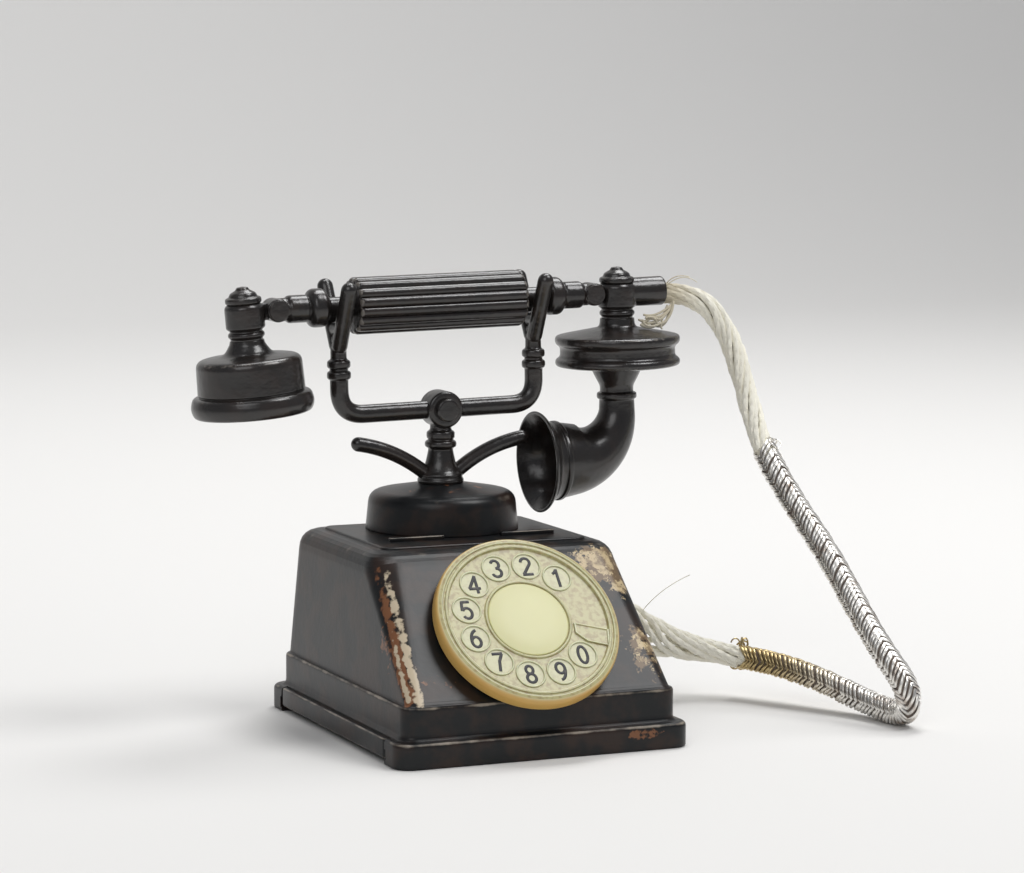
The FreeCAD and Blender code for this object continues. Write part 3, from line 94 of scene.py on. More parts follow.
def turned(axis, degrees):
    """Matrix of a turn about one axis."""
    return np.array(Matrix.Rotation(math.radians(degrees), 4, axis))


def middle(name):
    """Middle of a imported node's box, in millimetres."""
    low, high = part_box(name)
    return np.array((low + high) / 2) / MM


def foot(name):
    """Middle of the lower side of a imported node's box, in millimetres."""
    low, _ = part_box(name)
    return np.array((*middle(name)[:2], low[2] / MM))


def dial_place():
    """Place of the dial from its joint: Z leaves the front wall and Y points up along it."""
    joint = next(row for row in frame["joints"] if row["name"] == "dial_spin")
    out = np.array(joint["axis"])
    across = np.array((1.0, 0.0, 0.0))
    place = np.eye(4)
    place[:3, :3] = np.stack([across, np.cross(out, across), out], axis=1)
    place[:3, 3] = np.array(joint["pos_m"]) / MM
    return place


# From the middle of the turret cap's underside to the foot of the post
POST_FOOT = (-0.2, 0, 5.75)
# The handset lies a little askew: shift of its middle, and lean in degrees
HANDSET_SHIFT = (-0.1, 0, 0.2)
HANDSET_LEAN = -1.33
# From the middle of the grip to the hub of the yoke, to the grip's end, and from there to the arm's knuckle
HUB_PLACE = (0.45, 0, -13.5)
GRIP_HALF = 11.35
KNUCKLE = 10.0
# From the knuckles to the axes of the receiver and the transmitter, and the receiver's lean in degrees
STEM_REACH = (4.0, 3.7)
RECEIVER_LEAN = 4
# How far the ends of the yoke lie to the left and right of its hub, and the feet of the forks above it
YOKE_ENDS = (-13.65, 12.75)
FORK_FOOT = 4.2

AS_IS = np.eye(4)
# From a lathe's upright axis to one that runs outwards along X, or to the front
ALONG_X = turned("Y", 90)
TO_FRONT = turned("X", 90)
PLINTH = moved(*middle("base_housing")[:2], 0)
DIAL = dial_place()
TURRET = moved(*foot("turret_cap"))
POST = TURRET @ moved(*POST_FOOT)
# The places on the handset and its cradle are counted from the middle of the grip
HANDSET = moved(*middle("handset_grip")) @ moved(*HANDSET_SHIFT) @ turned("Y", HANDSET_LEAN)
CRADLE = HANDSET @ moved(*HUB_PLACE)
FORKS = tuple(CRADLE @ moved(across, 0, FORK_FOOT) for across in YOKE_ENDS)
ARMS = tuple(HANDSET @ turn @ moved(GRIP_HALF, 0, 0) for turn in (turned("Z", 180), AS_IS))
STEMS = (
    ARMS[0] @ moved(KNUCKLE, 0, 0) @ turned("Y", RECEIVER_LEAN) @ moved(STEM_REACH[0], 0, 0),
    ARMS[1] @ moved(KNUCKLE + STEM_REACH[1], 0, 0),
)


def put(points, place):
    """Points in millimetres, set in a place and given in metres."""
    return (points @ place[:3, :3].T + place[:3, 3]) * MM


# Surfaces: each is a tuple of points, quads and, for every point, how far an outer edge turns there

def quads_between(index):
    """Quads between the neighbouring rows and columns of a grid of point numbers."""
    corners = (index[:-1, :-1], index[:-1, 1:], index[1:, 1:], index[1:, :-1])
    return np.stack(corners, axis=-1).reshape(-1, 4)


def shell(grid, edge=0.0):
    """Points and quads of a grid whose columns join up into rings, with one edge value for each row."""
    rows, columns = grid.shape[:2]
    index = np.arange(rows * columns).reshape(rows, columns)
    index = np.concatenate([index, index[:, :1]], axis=1)
    edges = np.broadcast_to(np.reshape(edge, (-1, 1)), (rows, columns))
    return grid.reshape(-1, 3), quads_between(index), edges.ravel()


def at(surface, place):
    """Surface moved to a place."""
    points, quads, edge = surface
    return points @ place[:3, :3].T + place[:3, 3], quads, edge


def at_each(surfaces, places):
    """All of some surfaces at every one of some places."""
    return [at(surface, place) for place in places for surface in surfaces]


def unit(arrows):
    """Vectors brought to length one."""
    return arrows / np.linalg.norm(arrows, axis=-1, keepdims=True)


def around(columns):
    """Angles of a full turn in equal steps."""
    return np.linspace(0, FULL_TURN, columns, endpoint=False)


def eased(samples):
    """Shares from 0 to 1 that lie closer together towards both ends: half of 1 - cos(angle)."""
    return 0.5 - 0.5 * np.cos(np.linspace(0, math.pi, samples))


def parabola(share, start, control, end):
    """Points of a parabola that leaves its start towards a control point and reaches its end from there.

    A point is (1 - share)^2 * start + 2 * share * (1 - share) * control + share^2 * end.
    """
    return (1 - share) ** 2 * start + 2 * share * (1 - share) * control + share ** 2 * end


def rounded(corners, samples=7):
    """Line through corners (across, up, softness) that takes each corner on a parabola.

    The parabola starts and ends at the softness from the corner, or nearer on a short side, and the corner
    is its control point. The edge value is the sine of the corner's turn, greatest in its middle, and below
    zero in hollows.
    """
    rows = np.array(corners, dtype=float)
    spots = rows[:, :2]
    step = np.diff(spots, axis=0)
    reach = np.linalg.norm(step, axis=1, keepdims=True)
    ahead = step / reach
    trim = np.minimum(rows[1:-1, 2:], CORNER_SHARE * np.minimum(reach[:-1], reach[1:]))
    before = (spots[1:-1] - trim * ahead[:-1])[:, None]
    after = (spots[1:-1] + trim * ahead[1:])[:, None]
    share = np.linspace(0, 1, samples)[None, :, None]
    arcs = parabola(share, before, spots[1:-1, None], after)
    lead = before - np.minimum(0.5 * trim, FLAT_SHARE * reach[:-1])[:, None] * ahead[:-1, None]
    tail = after + np.minimum(0.5 * trim, FLAT_SHARE * reach[1:])[:, None] * ahead[1:, None]
    bends = np.concatenate([lead, arcs, tail], axis=1).reshape(-1, 2)
    way = np.sign(np.sum(spots[:-1, 0] * spots[1:, 1] - spots[1:, 0] * spots[:-1, 1]))
    turn = way * (ahead[:-1, 0] * ahead[1:, 1] - ahead[:-1, 1] * ahead[1:, 0])
    strength = np.pad(4 * share[0, :, 0] * (1 - share[0, :, 0]), 1)
    line = np.concatenate([spots[:1], bends, spots[-1:]])
    return line, np.pad((turn[:, None] * strength).ravel(), 1)


def lathe(corners, columns=72, wear=1.0):
    """Surface turned about Z: (radius * cos(angle), radius * sin(angle), height) along a rounded line."""
    line, edge = rounded(corners)
    angle = around(columns)
    across = line[:, :1]
    grid = np.broadcast_arrays(across * np.cos(angle), across * np.sin(angle), line[:, 1:])
    return shell(np.stack(grid, axis=-1), wear * edge)


def tube(path, loops):
    """Shell through loops, one round each point of a path, that closes in a point at both ends."""
    start, end = (np.repeat(path[spot:spot + 1, None], loops.shape[1], axis=1)
                  for spot in (0, len(path) - 1))
    return shell(np.concatenate([start, loops, end]))


def band(path, out, half_width, half_thickness, columns):
    """Closed band along a path, whose section is an ellipse.

    A point is path + cos(angle) * half_width * side + sin(angle) * half_thickness * rise, where side is
    square to the path and to out, and rise is square to the path and to side.
    """
    ahead = unit(np.gradient(path, axis=0))
    side = unit(np.cross(ahead, out))
    rise = np.cross(side, ahead)
    angle = around(columns)[None, :, None]
    wide, thick = (np.broadcast_to(size, len(path))[:, None, None] for size in (half_width, half_thickness))
    loops = path[:, None] + np.cos(angle) * wide * side[:, None] + np.sin(angle) * thick * rise[:, None]
    return tube(path, loops)


def rod(start, control, end, radius, out, samples=48, columns=28):
    """Round rod with round ends along a parabola.

    Within one radius of an end it narrows by the square root of 1 - (1 - distance / radius)^2.
    """
    path = parabola(eased(samples)[:, None], np.array(start), np.array(control), np.array(end))
    run = along(path)
    near = np.clip(np.minimum(run, run[-1] - run) / radius, 0.002, 1)
    thick = radius * np.sqrt(1 - (1 - near) ** 2)
    return band(path, np.array(out, dtype=float), thick, thick, columns)


def rings(rows, straight=10, turn=8):
    """Closed surface through rounded rectangles, one for each row.

    A row holds half width, front, back, corner radius and the heights of the sides, the front and the back.
    A point of a corner is its centre + radius * (cos(angle), sin(angle)), and its height is the sides'
    height times the square of the cosine plus the front's or back's times the square of the sine.
    """
    columns = (column[:, None, None] for column in np.transpose(rows))
    half, front, back, radius, side_z, front_z, back_z = columns
    quarter = np.arange(4)[None, :, None]
    angle = (quarter + np.linspace(0, 1, turn + 1)[None, None, :]) * math.pi / 2
    right = np.where((quarter == 0) | (quarter == 3), 1.0, -1.0)
    behind = quarter < 2
    x = right * (half - radius) + radius * np.cos(angle)
    y = np.where(behind, back - radius, front + radius) + radius * np.sin(angle)
    z = side_z * np.cos(angle) ** 2 + np.where(behind, back_z, front_z) * np.sin(angle) ** 2
    corners = np.stack([x, y, z], axis=-1)
    following = np.roll(corners[:, :, :1], -1, axis=1)
    share = eased(straight + 2)[None, None, 1:-1, None]
    sides = corners[:, :, -1:] * (1 - share) + following * share
    return np.concatenate([corners, sides], axis=2).reshape(len(rows), -1, 3)


def swept(rows, samples=7):
    """Rows of a table, in which a soft row is the control point of a parabola between its neighbours.

    Further rows close to each row keep the shading flat between them.
    """
    share = np.linspace(0, 1, samples)[1:-1, None]
    values = np.array([row[:-1] for row in rows], dtype=float)
    parts, edges = [], []
    for number, row in enumerate(rows):
        if row[-1] is None:
            parts.append(values[number:number + 1])
            edges.append(np.zeros(1))
        else:
            parts.append(parabola(share, *values[number - 1:number + 2]))
            edges.append(row[-1] * 4 * share[:, 0] * (1 - share[:, 0]))
    values, edge = np.concatenate(parts), np.concatenate(edges)
    share = np.array(ROW_SHARES)[None, :, None]
    dense = (values[:-1, None] * (1 - share) + values[1:, None] * share).reshape(-1, values.shape[1])
    worn = (edge[:-1, None] * (1 - share[..., 0]) + edge[1:, None] * share[..., 0]).ravel()
    return np.concatenate([dense, values[-1:]]), np.append(worn, edge[-1])


def along(line):
    """Distance of each point from the start of a line."""
    return np.concatenate([[0], np.cumsum(np.linalg.norm(np.diff(line, axis=0), axis=1))])


def build(name, shells, place):
    """Object of one or more closed shells, merged at seams and poles, with its faces turned outwards."""
    points, quads, edge = zip(*shells)
    starts = np.cumsum([0] + [len(part) for part in points[:-1]])
    faces = np.concatenate([part + start for part, start in zip(quads, starts)])
    mesh = bpy.data.meshes.new(name)
    mesh.from_pydata(put(np.concatenate(points), place).tolist(), [], faces.tolist())
    mesh.attributes.new("edge", "FLOAT", "POINT").data.foreach_set("value", np.concatenate(edge))
    work = bmesh.new()
    work.from_mesh(mesh)
    bmesh.ops.remove_doubles(work, verts=work.verts, dist=1e-7)
    bmesh.ops.recalc_face_normals(work, faces=work.faces)
    work.to_mesh(mesh)
    work.free()
    mesh.shade_smooth()
    mesh.set_sharp_from_angle(angle=SHARP)
    item = bpy.data.objects.new(name, mesh)
    bpy.context.collection.objects.link(item)
    return item


def melt(item, voxel):
    """Makes the shells of a piece one casting with soft inner corners."""
    skin = item.modifiers.new("One skin", "REMESH")
    skin.mode = "VOXEL"
    skin.voxel_size = voxel * MM
    skin.use_smooth_shade = True
    soft = item.modifiers.new("Soft corners", "SMOOTH")
    soft.factor = 0.5
    soft.iterations = 6


def stands_for(item, body, finish, *nodes):
    """Dresses a piece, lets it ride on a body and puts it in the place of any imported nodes."""
    dress(item, *finish)
    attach(item, body)
    if nodes:
        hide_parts(*nodes)


def piece(name, shells, place, body, finish, *nodes, voxel=None):
    """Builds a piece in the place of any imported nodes; with a voxel size its shells melt together."""
    item = build(name, shells, place)
    if voxel:
        melt(item, voxel)
    stands_for(item, body, finish, *nodes)


# Shader tools

def feed(tree, item, inputs):
    """Gives a node's inputs, by name or number, their values, or links sockets to them."""
    for key, value in inputs.items():
        if isinstance(value, bpy.types.NodeSocket):
            tree.links.new(value, item.inputs[key])
        else:
            item.inputs[key].default_value = value


def node(tree, kind, inputs=(), **settings):
    """New node with its settings and inputs."""
    item = tree.nodes.new(kind)
    for key, value in settings.items():
        setattr(item, key, value)
    feed(tree, item, dict(inputs))
    return item


def spot_of(tree):
    """Spot on a piece, in the piece's own coordinates."""
    return node(tree, "ShaderNodeTexCoord").outputs["Object"]


def mixed(tree, share, first, second):
    """Colour between two colours."""
    return node(tree, "ShaderNodeMix", {0: share, 6: first, 7: second}, data_type="RGBA").outputs[2]


def sums(tree, operation, first, second=0.0):
    """Number worked out from two numbers."""
    return node(tree, "ShaderNodeMath", {0: first, 1: second}, operation=operation).outputs[0]


def vectors(tree, operation, first, second=(0.0, 0.0, 0.0)):
    """Vector worked out from two vectors, or the number that a length, distance or product comes to."""
    outputs = node(tree, "ShaderNodeVectorMath", {0: first, 1: second}, operation=operation).outputs
    return outputs["Value" if operation in ("LENGTH", "DISTANCE", "DOT_PRODUCT") else "Vector"]


def noise(tree, spot, scale, detail=4.0):
    """Noise value at a spot."""
    return node(tree, "ShaderNodeTexNoise", {"Vector": spot, "Scale": scale, "Detail": detail}).outputs[0]


def stepped(tree, value, low, high):
    """Soft step from 0 at low to 1 at high."""
    inputs = {"Value": value, "From Min": low, "From Max": high}
    return node(tree, "ShaderNodeMapRange", inputs, interpolation_type="SMOOTHSTEP").outputs[0]


def group(name, inputs, outputs):
    """Empty shader node group; returns its tree, its inputs and its output node.

    Each input comes with a number, or with None for a vector. Of the outputs only a normal is a vector.
    """
    tree = bpy.data.node_groups.new(name, "ShaderNodeTree")
    for label, value in inputs.items():
        kind = "NodeSocketVector" if value is None else "NodeSocketFloat"
        socket = tree.interface.new_socket(label, in_out="INPUT", socket_type=kind)
        if value is not None:
            socket.default_value = value
    for label in outputs:
        kind = "NodeSocketVector" if label == "Normal" else "NodeSocketFloat"
        tree.interface.new_socket(label, in_out="OUTPUT", socket_type=kind)
    return tree, tree.nodes.new("NodeGroupInput").outputs, tree.nodes.new("NodeGroupOutput")


def placed(tree, name, inputs):
    """Outputs of a node group placed in a material's tree."""
    return node(tree, "ShaderNodeGroup", inputs, node_tree=bpy.data.node_groups[name]).outputs


def casting_group():
    """Uneven skin of a casting: a normal from two noises and a mask of blotches."""
    inputs = {"Grain": 900.0, "Depth": 0.1, "Blotch": 160.0}
    tree, given, out = group("Casting", inputs, ("Normal", "Blotches"))
    spot = spot_of(tree)
    broad = noise(tree, spot, given["Blotch"])
    height = sums(tree, "ADD", sums(tree, "MULTIPLY", noise(tree, spot, given["Grain"]), 0.35), broad)
    bump = node(tree, "ShaderNodeBump", {"Strength": given["Depth"], "Distance": 0.0004, "Height": height})
    feed(tree, out, {"Normal": bump.outputs[0], "Blotches": stepped(tree, broad, 0.42, 0.66)})


def scuff_group():
    """Mask of a worn patch: near a middle, by its reach along each axis, and broken up by noise."""
    inputs = {"Middle": None, "Reach": None, "Grain": 500.0, "Share": 0.5}
    tree, given, out = group("Scuff", inputs, ("Mask",))
    spot = spot_of(tree)
    away = vectors(tree, "SUBTRACT", spot, given["Middle"])
    near = stepped(tree, vectors(tree, "LENGTH", vectors(tree, "DIVIDE", away, given["Reach"])), 1.0, 0.2)
    fine = noise(tree, spot, sums(tree, "MULTIPLY", given["Grain"], 5.0))
    fine = sums(tree, "MULTIPLY", sums(tree, "SUBTRACT", fine, 0.5), 0.5)
    grain = sums(tree, "ADD", noise(tree, spot, given["Grain"], 8.0), fine)
    rough = sums(tree, "ADD", grain, sums(tree, "MULTIPLY", near, given["Share"]))
    mask = sums(tree, "MULTIPLY", stepped(tree, rough, 0.78, 0.88), stepped(tree, near, 0.0, 0.2))
    feed(tree, out, {"Mask": mask})


def edge_of(tree):
    """How far an outer edge turns at a spot."""
    return node(tree, "ShaderNodeAttribute", attribute_name="edge").outputs["Fac"]


def edge_group():
    """Mask of worn outer edges, on the base also their painted highlights: the edge value with noise added,
    stepped between two bounds.
    """
    tree, given, out = group("Worn edge", {"Grain": 800.0, "Low": 0.7, "High": 1.1}, ("Mask",))
    rough = sums(tree, "SUBTRACT", noise(tree, spot_of(tree), given["Grain"], 6.0), 0.5)
    worn = sums(tree, "ADD", edge_of(tree), sums(tree, "MULTIPLY", rough, 1.4))
    feed(tree, out, {"Mask": stepped(tree, worn, given["Low"], given["High"])})


def line_group():
    """Mask of a line along an edge, for worn paint and for a painted highlight: near the line between two
    points, and broken up by noise.
    """
    inputs = {"Start": None, "End": None, "Width": 0.0008, "Grain": 300.0}
    tree, given, out = group("Worn line", inputs, ("Mask",))
    spot = spot_of(tree)
    away = vectors(tree, "SUBTRACT", spot, given["Start"])
    whole = vectors(tree, "SUBTRACT", given["End"], given["Start"])
    part, total = (vectors(tree, "DOT_PRODUCT", one, whole) for one in (away, whole))
    share = node(tree, "ShaderNodeMath", {0: part, 1: total}, operation="DIVIDE", use_clamp=True).outputs[0]
    far = vectors(tree, "DISTANCE", away, vectors(tree, "MULTIPLY", whole, share))
    near = sums(tree, "SUBTRACT", 1.0, sums(tree, "DIVIDE", far, given["Width"]))
    grain = sums(tree, "SUBTRACT", noise(tree, spot, given["Grain"], 8.0), 0.5)
    worn = sums(tree, "ADD", near, sums(tree, "MULTIPLY", grain, 2.0))
    feed(tree, out, {"Mask": stepped(tree, worn, 0.2, 0.5)})


def material(name):
    """New material; returns it with its tree and its main shader."""
    made = bpy.data.materials.new(name)
    made.use_nodes = True
    tree = made.node_tree
    return made, tree, tree.nodes["Principled BSDF"]


def dress(item, made, slot):
    """Gives a piece its material; the slot, naming the finish it stands for, is not used."""
    item.data.materials.clear()
    item.data.materials.append(made)


def shade_group():
    """Modifier tree that joins loose triangles and shades them smoothly except across sharp edges."""
    tree = bpy.data.node_groups.new("Shade by angle", "GeometryNodeTree")
    for way in ("INPUT", "OUTPUT"):
        tree.interface.new_socket("Geometry", in_out=way, socket_type="NodeSocketGeometry")
    given = tree.nodes.new("NodeGroupInput").outputs[0]
    out = tree.nodes.new("NodeGroupOutput")
    whole = node(tree, "GeometryNodeMergeByDistance", {"Geometry": given, "Distance": 1e-6}).outputs[0]
    smooth = node(tree, "GeometryNodeSetShadeSmooth", {"Geometry": whole, "Shade Smooth": True}).outputs[0]
    angle = node(tree, "GeometryNodeInputMeshEdgeAngle").outputs["Unsigned Angle"]
    bounds = {0: angle, 1: math.radians(35)}
    sharp = node(tree, "FunctionNodeCompare", bounds, operation="GREATER_THAN").outputs[0]
    inputs = {"Geometry": smooth, "Selection": sharp, "Shade Smooth": False}
    feed(tree, out, {0: node(tree, "GeometryNodeSetShadeSmooth", inputs, domain="EDGE").outputs[0]})
    return tree


# Settings

def length(name, description, default):
    """Setting that is a length in metres."""
    return FloatProperty(name=name, description=description, default=default, min=0.0, unit="LENGTH",
                         precision=5)


def colour(name, description, default):
    """Setting that is a colour."""
    return FloatVectorProperty(name=name, description=description, default=default, size=4, min=0.0, max=1.0,
                               subtype="COLOR")


def count(name, description, default, least):
    """Setting that is a whole number."""
    return IntProperty(name=name, description=description, default=default, min=least)


class CordSettings(PropertyGroup):
    """Sizes and colours of the cord."""

    strand_radius: length("Strand radius", "Radius of one cotton strand", 0.00042)
    rope_radius: length("Rope radius", "From the middle of the rope to the middle of a strand", 0.00100)
    strand_count: count("Strands", "Number of strands round the core strand", 9, 3)
    rope_pitch: length("Rope pitch", "Length of one turn of the strands", 0.024)
    winding_radius: length("Winding radius", "Radius of the silver winding", 0.00146)
    stitch_pitch: length("Stitch pitch", "Distance along the cord from stitch to stitch", 0.00064)
    stitch_columns: count("Stitch columns", "Columns of stitches round the cord, an even number", 4, 4)
    thread_width: length("Thread width", "Half the width of a winding thread", 0.00022)
    cotton: colour("Cotton", "Colour of the bare strands", (0.92, 0.89, 0.77, 1.0))
    silver: colour("Silver", "Colour of the winding", (0.85, 0.83, 0.79, 1.0))
    gold: colour("Gold", "Colour of the winding's yellowed end", (0.55, 0.43, 0.22, 1.0))


class DialSettings(PropertyGroup):
    """Sizes and colours of the dial."""

    digit_height: length("Digit height", "Height of the printed digits", 0.0028)
    digit_weight: length("Digit weight", "Half the width of the digits' strokes", 0.00020)
    ink: colour("Ink", "Colour of the digits", (0.025, 0.024, 0.028, 1.0))
    ivory: colour("Ivory", "Colour of the dial's face", (0.49, 0.455, 0.23, 1.0))
    # Pale is also painted onto the raised lines as their highlight
    pale: colour("Pale", "Colour inside the rings and on raised lines", (0.60, 0.60, 0.38, 1.0))
    amber: colour("Amber", "Colour of the dial's side", (0.66, 0.41, 0.12, 1.0))
    cream: colour("Cream", "Colour of the smooth centre", (0.62, 0.60, 0.29, 1.0))


class MetalSettings(PropertyGroup):
    """Colours of the castings."""

    paint: colour("Paint", "Dark gloss on the base", (0.009, 0.010, 0.011, 1.0))
    copper: colour("Copper", "Metal under the paint", (0.20, 0.085, 0.040, 1.0))
    tan: colour("Tan", "Bare worn patches", (0.57, 0.45, 0.265, 1.0))
    bronze: colour("Bronze", "Dark bronzed metal of cradle and handset", (0.014, 0.012, 0.011, 1.0))


class StageSettings(PropertyGroup):
    """Camera, floor and light."""

    lens: FloatProperty(name="Lens", description="Focal length of the camera", default=116.7, min=1.0,
                        unit="CAMERA")
    floor: colour("Floor", "Colour of the floor and backdrop", (0.80, 0.79, 0.77, 1.0))
    light: FloatProperty(name="Light", description="Strength of the lamps", default=1.0, min=0.0)


# Base

# Rounded rectangles of the housing from the middle of its top down the outside, under the foot and up the
# hollow inside: half width, front, back, corner, heights of sides, front and back. A number at the end
# marks a soft row and says how far its edge wears, which also paints a highlight along it.
HOUSING = (
    (0, 6.7, 6.7, 0, 23.45, 23.45, 23.45, None),
    (13.3, -3.85, 17.2, 1.3, 23.45, 23.45, 23.45, None),
    (13.6, -4.1, 17.5, 1.5, 23.45, 23.45, 23.45, 0.5),
    (13.62, -4.12, 17.52, 1.5, 23.2, 23.2, 23.2, None),
    (13.79, -4.8, 18.2, 1.6, 23.15, 23.15, 23.15, None),
    (16.26, -6.69, 20.66, 3.2, 23.15, 23.15, 23.15, 0.7),
    (16.39, -7.95, 20.68, 3.1, 20.68, 21.72, 20.68, None),
    (17.08, -20.4, 20.78, 1.5, 7.5, 7.6, 7.5, None),
    (17.1, -20.62, 20.8, 1.5, 7.17, 7.42, 7.17, 0.2),
    (17.28, -20.76, 20.82, 1.6, 7.15, 7.2, 7.15, None),
    (17.7, -20.95, 20.95, 1.8, 7.15, 7.02, 7.15, 1.0),
    (17.7, -20.95, 20.95, 1.8, 6.6, 6.5, 6.7, None),
    (17.7, -20.95, 20.95, 1.8, 3.8, 3.8, 3.8, None),
    (17.7, -20.95, 20.95, 1.8, 3.1, 3.1, 3.1, -0.6),
    (18.35, -21.6, 21.6, 2.0, 3.1, 3.1, 3.1, None),
    (19.0, -22.2, 22.2, 2.2, 3.1, 3.1, 3.1, 1.0),
    (19.0, -22.2, 22.2, 2.2, 2.45, 2.45, 2.45, None),
    (19.0, -22.2, 22.2, 2.2, 0.3, 0.3, 0.3, None),
    (19.0, -22.2, 22.2, 2.2, 0.0, 0.0, 0.0, 0.4),
    (18.7, -21.9, 21.9, 2.0, 0.0, 0.0, 0.0, None),
    (15.6, -17.2, 17.2, 0.6, 0.0, 0.0, 0.0, None),
    (15.6, -17.2, 17.2, 0.6, 7.2, 7.2, 7.2, None),
    (15.6, -18.8, 19.2, 1.2, 7.25, 7.25, 7.25, None),
    (14.75, -6.02, 19.1, 1.5, 21.65, 21.65, 21.65, None),
    (0, 6.7, 6.7, 0, 21.65, 21.65, 21.65, None),
)
# Room for the tray in the housing: its mouth in the plinth step, its way in, and the grooves of its tongues
TRAY_ROOM = (
    ((-30.0, -17.6, -1.0), (-16.9, 17.6, 3.13)),
    ((-30.0, -17.2, -1.0), (0.0, 17.2, 2.8)),
    ((-30.0, -18.0, 0.5), (15.6, 18.0, 1.9)),
)
# Two low ribs on the housing's top, and the softness of their edges
RIB_SOFT = 0.22
RIBS = (((-11.0, 0.5, 23.3), (-3.8, 1.3, 23.95)), ((3.8, 0.5, 23.3), (11.0, 1.3, 23.95)))
# Blocks of the tray with their softness: strip in the plinth step, floor with the tongues, and rim
TRAY = (
    ((-19.0, -17.4, 0.7), (-17.1, 17.4, 3.1), 0.35),
    ((-17.3, -17.8, 0.7), (15.4, 17.8, 1.7), 0.1),
    ((-17.3, -17.0, 1.5), (-16.3, 17.0, 2.6), 0.1),
    ((14.4, -17.0, 1.5), (15.4, 17.0, 2.6), 0.1),
    ((-17.3, -17.0, 1.5), (15.4, -16.0, 2.6), 0.1),
    ((-17.3, 16.0, 1.5), (15.4, 17.0, 2.6), 0.1),
)
TURRET_WEAR = 0.72
TURRET_LINE = ((0, 0, 0), (9.64, 0, 0.15), (9.2, 4.6, 1.3), (2.6, 5.74, 0.2), (0, 5.78, 0))


def slab(low, high, soft):
    """Block with soft edges: rounded rectangles that draw in on a parabola towards its top and bottom."""
    half = (high[0] - low[0]) / 2
    x, front, back = (low[0] + high[0]) / 2, low[1], high[1]
    middle_y = (front + back) / 2
    rows = []
    for z, way in ((low[2], 1), (high[2], -1)):
        rows += [
            (0, middle_y, middle_y, 0, z, z, z, None),
            (half - soft, front + soft, back - soft, soft / 2, z, z, z, None),
            (half, front, back, soft, z, z, z, 1.0),
            (half, front, back, soft, *[z + way * soft] * 3, None),
        ][::way]
    values, edge = swept(rows)
    return at(shell(rings(values, 4, 4), edge), moved(x, 0, 0))


def hollowed(item, boxes, soft=0.01):
    """Takes boxes out of a piece's mesh."""
    cutter = build("cutter", [slab(*box, soft) for box in boxes], PLINTH)
    cutter.hide_render = True
    modifier = item.modifiers.new("Room", "BOOLEAN")
    modifier.object = cutter
    modifier.operation = "DIFFERENCE"
    modifier.solver = "EXACT"
    modifier.use_self = True
    bpy.context.view_layer.update()
    ready = item.evaluated_get(bpy.context.evaluated_depsgraph_get())
    mesh = bpy.data.meshes.new_from_object(ready)
    item.modifiers.clear()
    item.data = mesh
    mesh.set_sharp_from_angle(angle=SHARP)
    bpy.data.objects.remove(cutter)


class TELEPHONE_OT_base(Operator):
    """Housing, tray and turret"""

    bl_idname = "telephone.base"
    bl_label = "Base"

    def execute(self, context):
        finish = (paint_material(context.scene.telephone_metal), "cast_base")
        values, edge = swept(HOUSING)
        housing = build("housing", [shell(rings(values), edge)], PLINTH)
        hollowed(housing, TRAY_ROOM)
        stands_for(housing, "base", finish, "base_housing")
        piece("ribs", [slab(*box, RIB_SOFT) for box in RIBS], PLINTH, "base", finish)
        piece("tray", [slab(*block) for block in TRAY], PLINTH, "tray", finish, "bottom_tray")
        piece("turret", [lathe(TURRET_LINE, 128, TURRET_WEAR)], TURRET, "base", finish, "turret_cap")
        return {"FINISHED"}


# Cradle

POST_LINE = (
    (0, -0.1, 0), (2.8, -0.1, 0.05), (2.98, 0.35, 0.25), (2.72, 0.72, 0.12), (2.86, 1.05, 0.25),
    (2.45, 1.45, 0.12), (1.95, 2.3, 0.9), (1.55, 4.15, 0.3), (1.62, 4.35, 0.1), (2.0, 4.55, 0.25),
    (2.0, 5.15, 0.25), (1.5, 5.42, 0.1), (1.78, 5.62, 0.2), (1.78, 6.4, 0.25), (1.35, 6.62, 0.2),
    (1.35, 8.6, 0.3), (0, 8.8, 0),
)
HUB_LINE = ((0, -2.0, 0), (2.35, -2.0, 0.55), (2.35, 1.7, 0.55), (0, 1.7, 0))
PIN_LINE = ((0, -2.4, 0), (1.0, -2.4, 0.25), (1.05, -1.9, 0.1), (1.05, 1.6, 0.1), (1.45, 1.62, 0.05),
            (1.45, 2.48, 0.3), (0, 2.52, 0))
FORK_LINE = (
    (0, -0.4, 0), (1.14, -0.4, 0.05), (1.12, 0.22, 0.1), (1.5, 0.42, 0.3), (1.5, 1.2, 0.3), (1.1, 1.4, 0.1),
    (1.08, 1.6, 0.1), (1.46, 1.8, 0.3), (1.46, 2.58, 0.3), (1.02, 2.8, 0.15), (1.0, 4.3, 0.1), (0, 4.3, 0),
)
# Start, control point, end and radius of a wing
WING = ((1.0, 0, 0.3), (5.72, 0, 4.58), (12.0, 0, 5.34), 0.92)
# Height and radius of the yoke's bar, and softness of its corners
YOKE_HEIGHT = 6.6
YOKE_RADIUS = 1.15
YOKE_SOFT = 3.6
# Root, length, lean and radius of the forks' prongs
PRONG_ROOT = 3.6
PRONG_LENGTH = 10.0
PRONG_LEAN = math.radians(27.6)
PRONG_RADIUS = 1.0
# Height and reach of the metal that fills the forks between their prongs, its radius and its sag
WEBS = ((5.3, 1.3), (6.6, 1.9))
WEB_RADIUS = 0.85
WEB_SAG = 0.3
# Voxel sizes that the pieces of cradle and handset melt together with
POST_VOXEL = 0.07
VOXEL = 0.08


def yoke_rod():
    """Round bar bent to a U: a circle carried along a line with two soft corners."""
    left, right = YOKE_ENDS
    corners = ((left, YOKE_HEIGHT, 0), (left, 0, YOKE_SOFT), (right, 0, YOKE_SOFT), (right, YOKE_HEIGHT, 0))
    line, _ = rounded(corners, 16)
    path = np.stack([line[:, 0], 0 * line[:, 0], line[:, 1]], axis=1)
    return band(path, np.array((0.0, 1.0, 0.0)), YOKE_RADIUS, YOKE_RADIUS, 32)


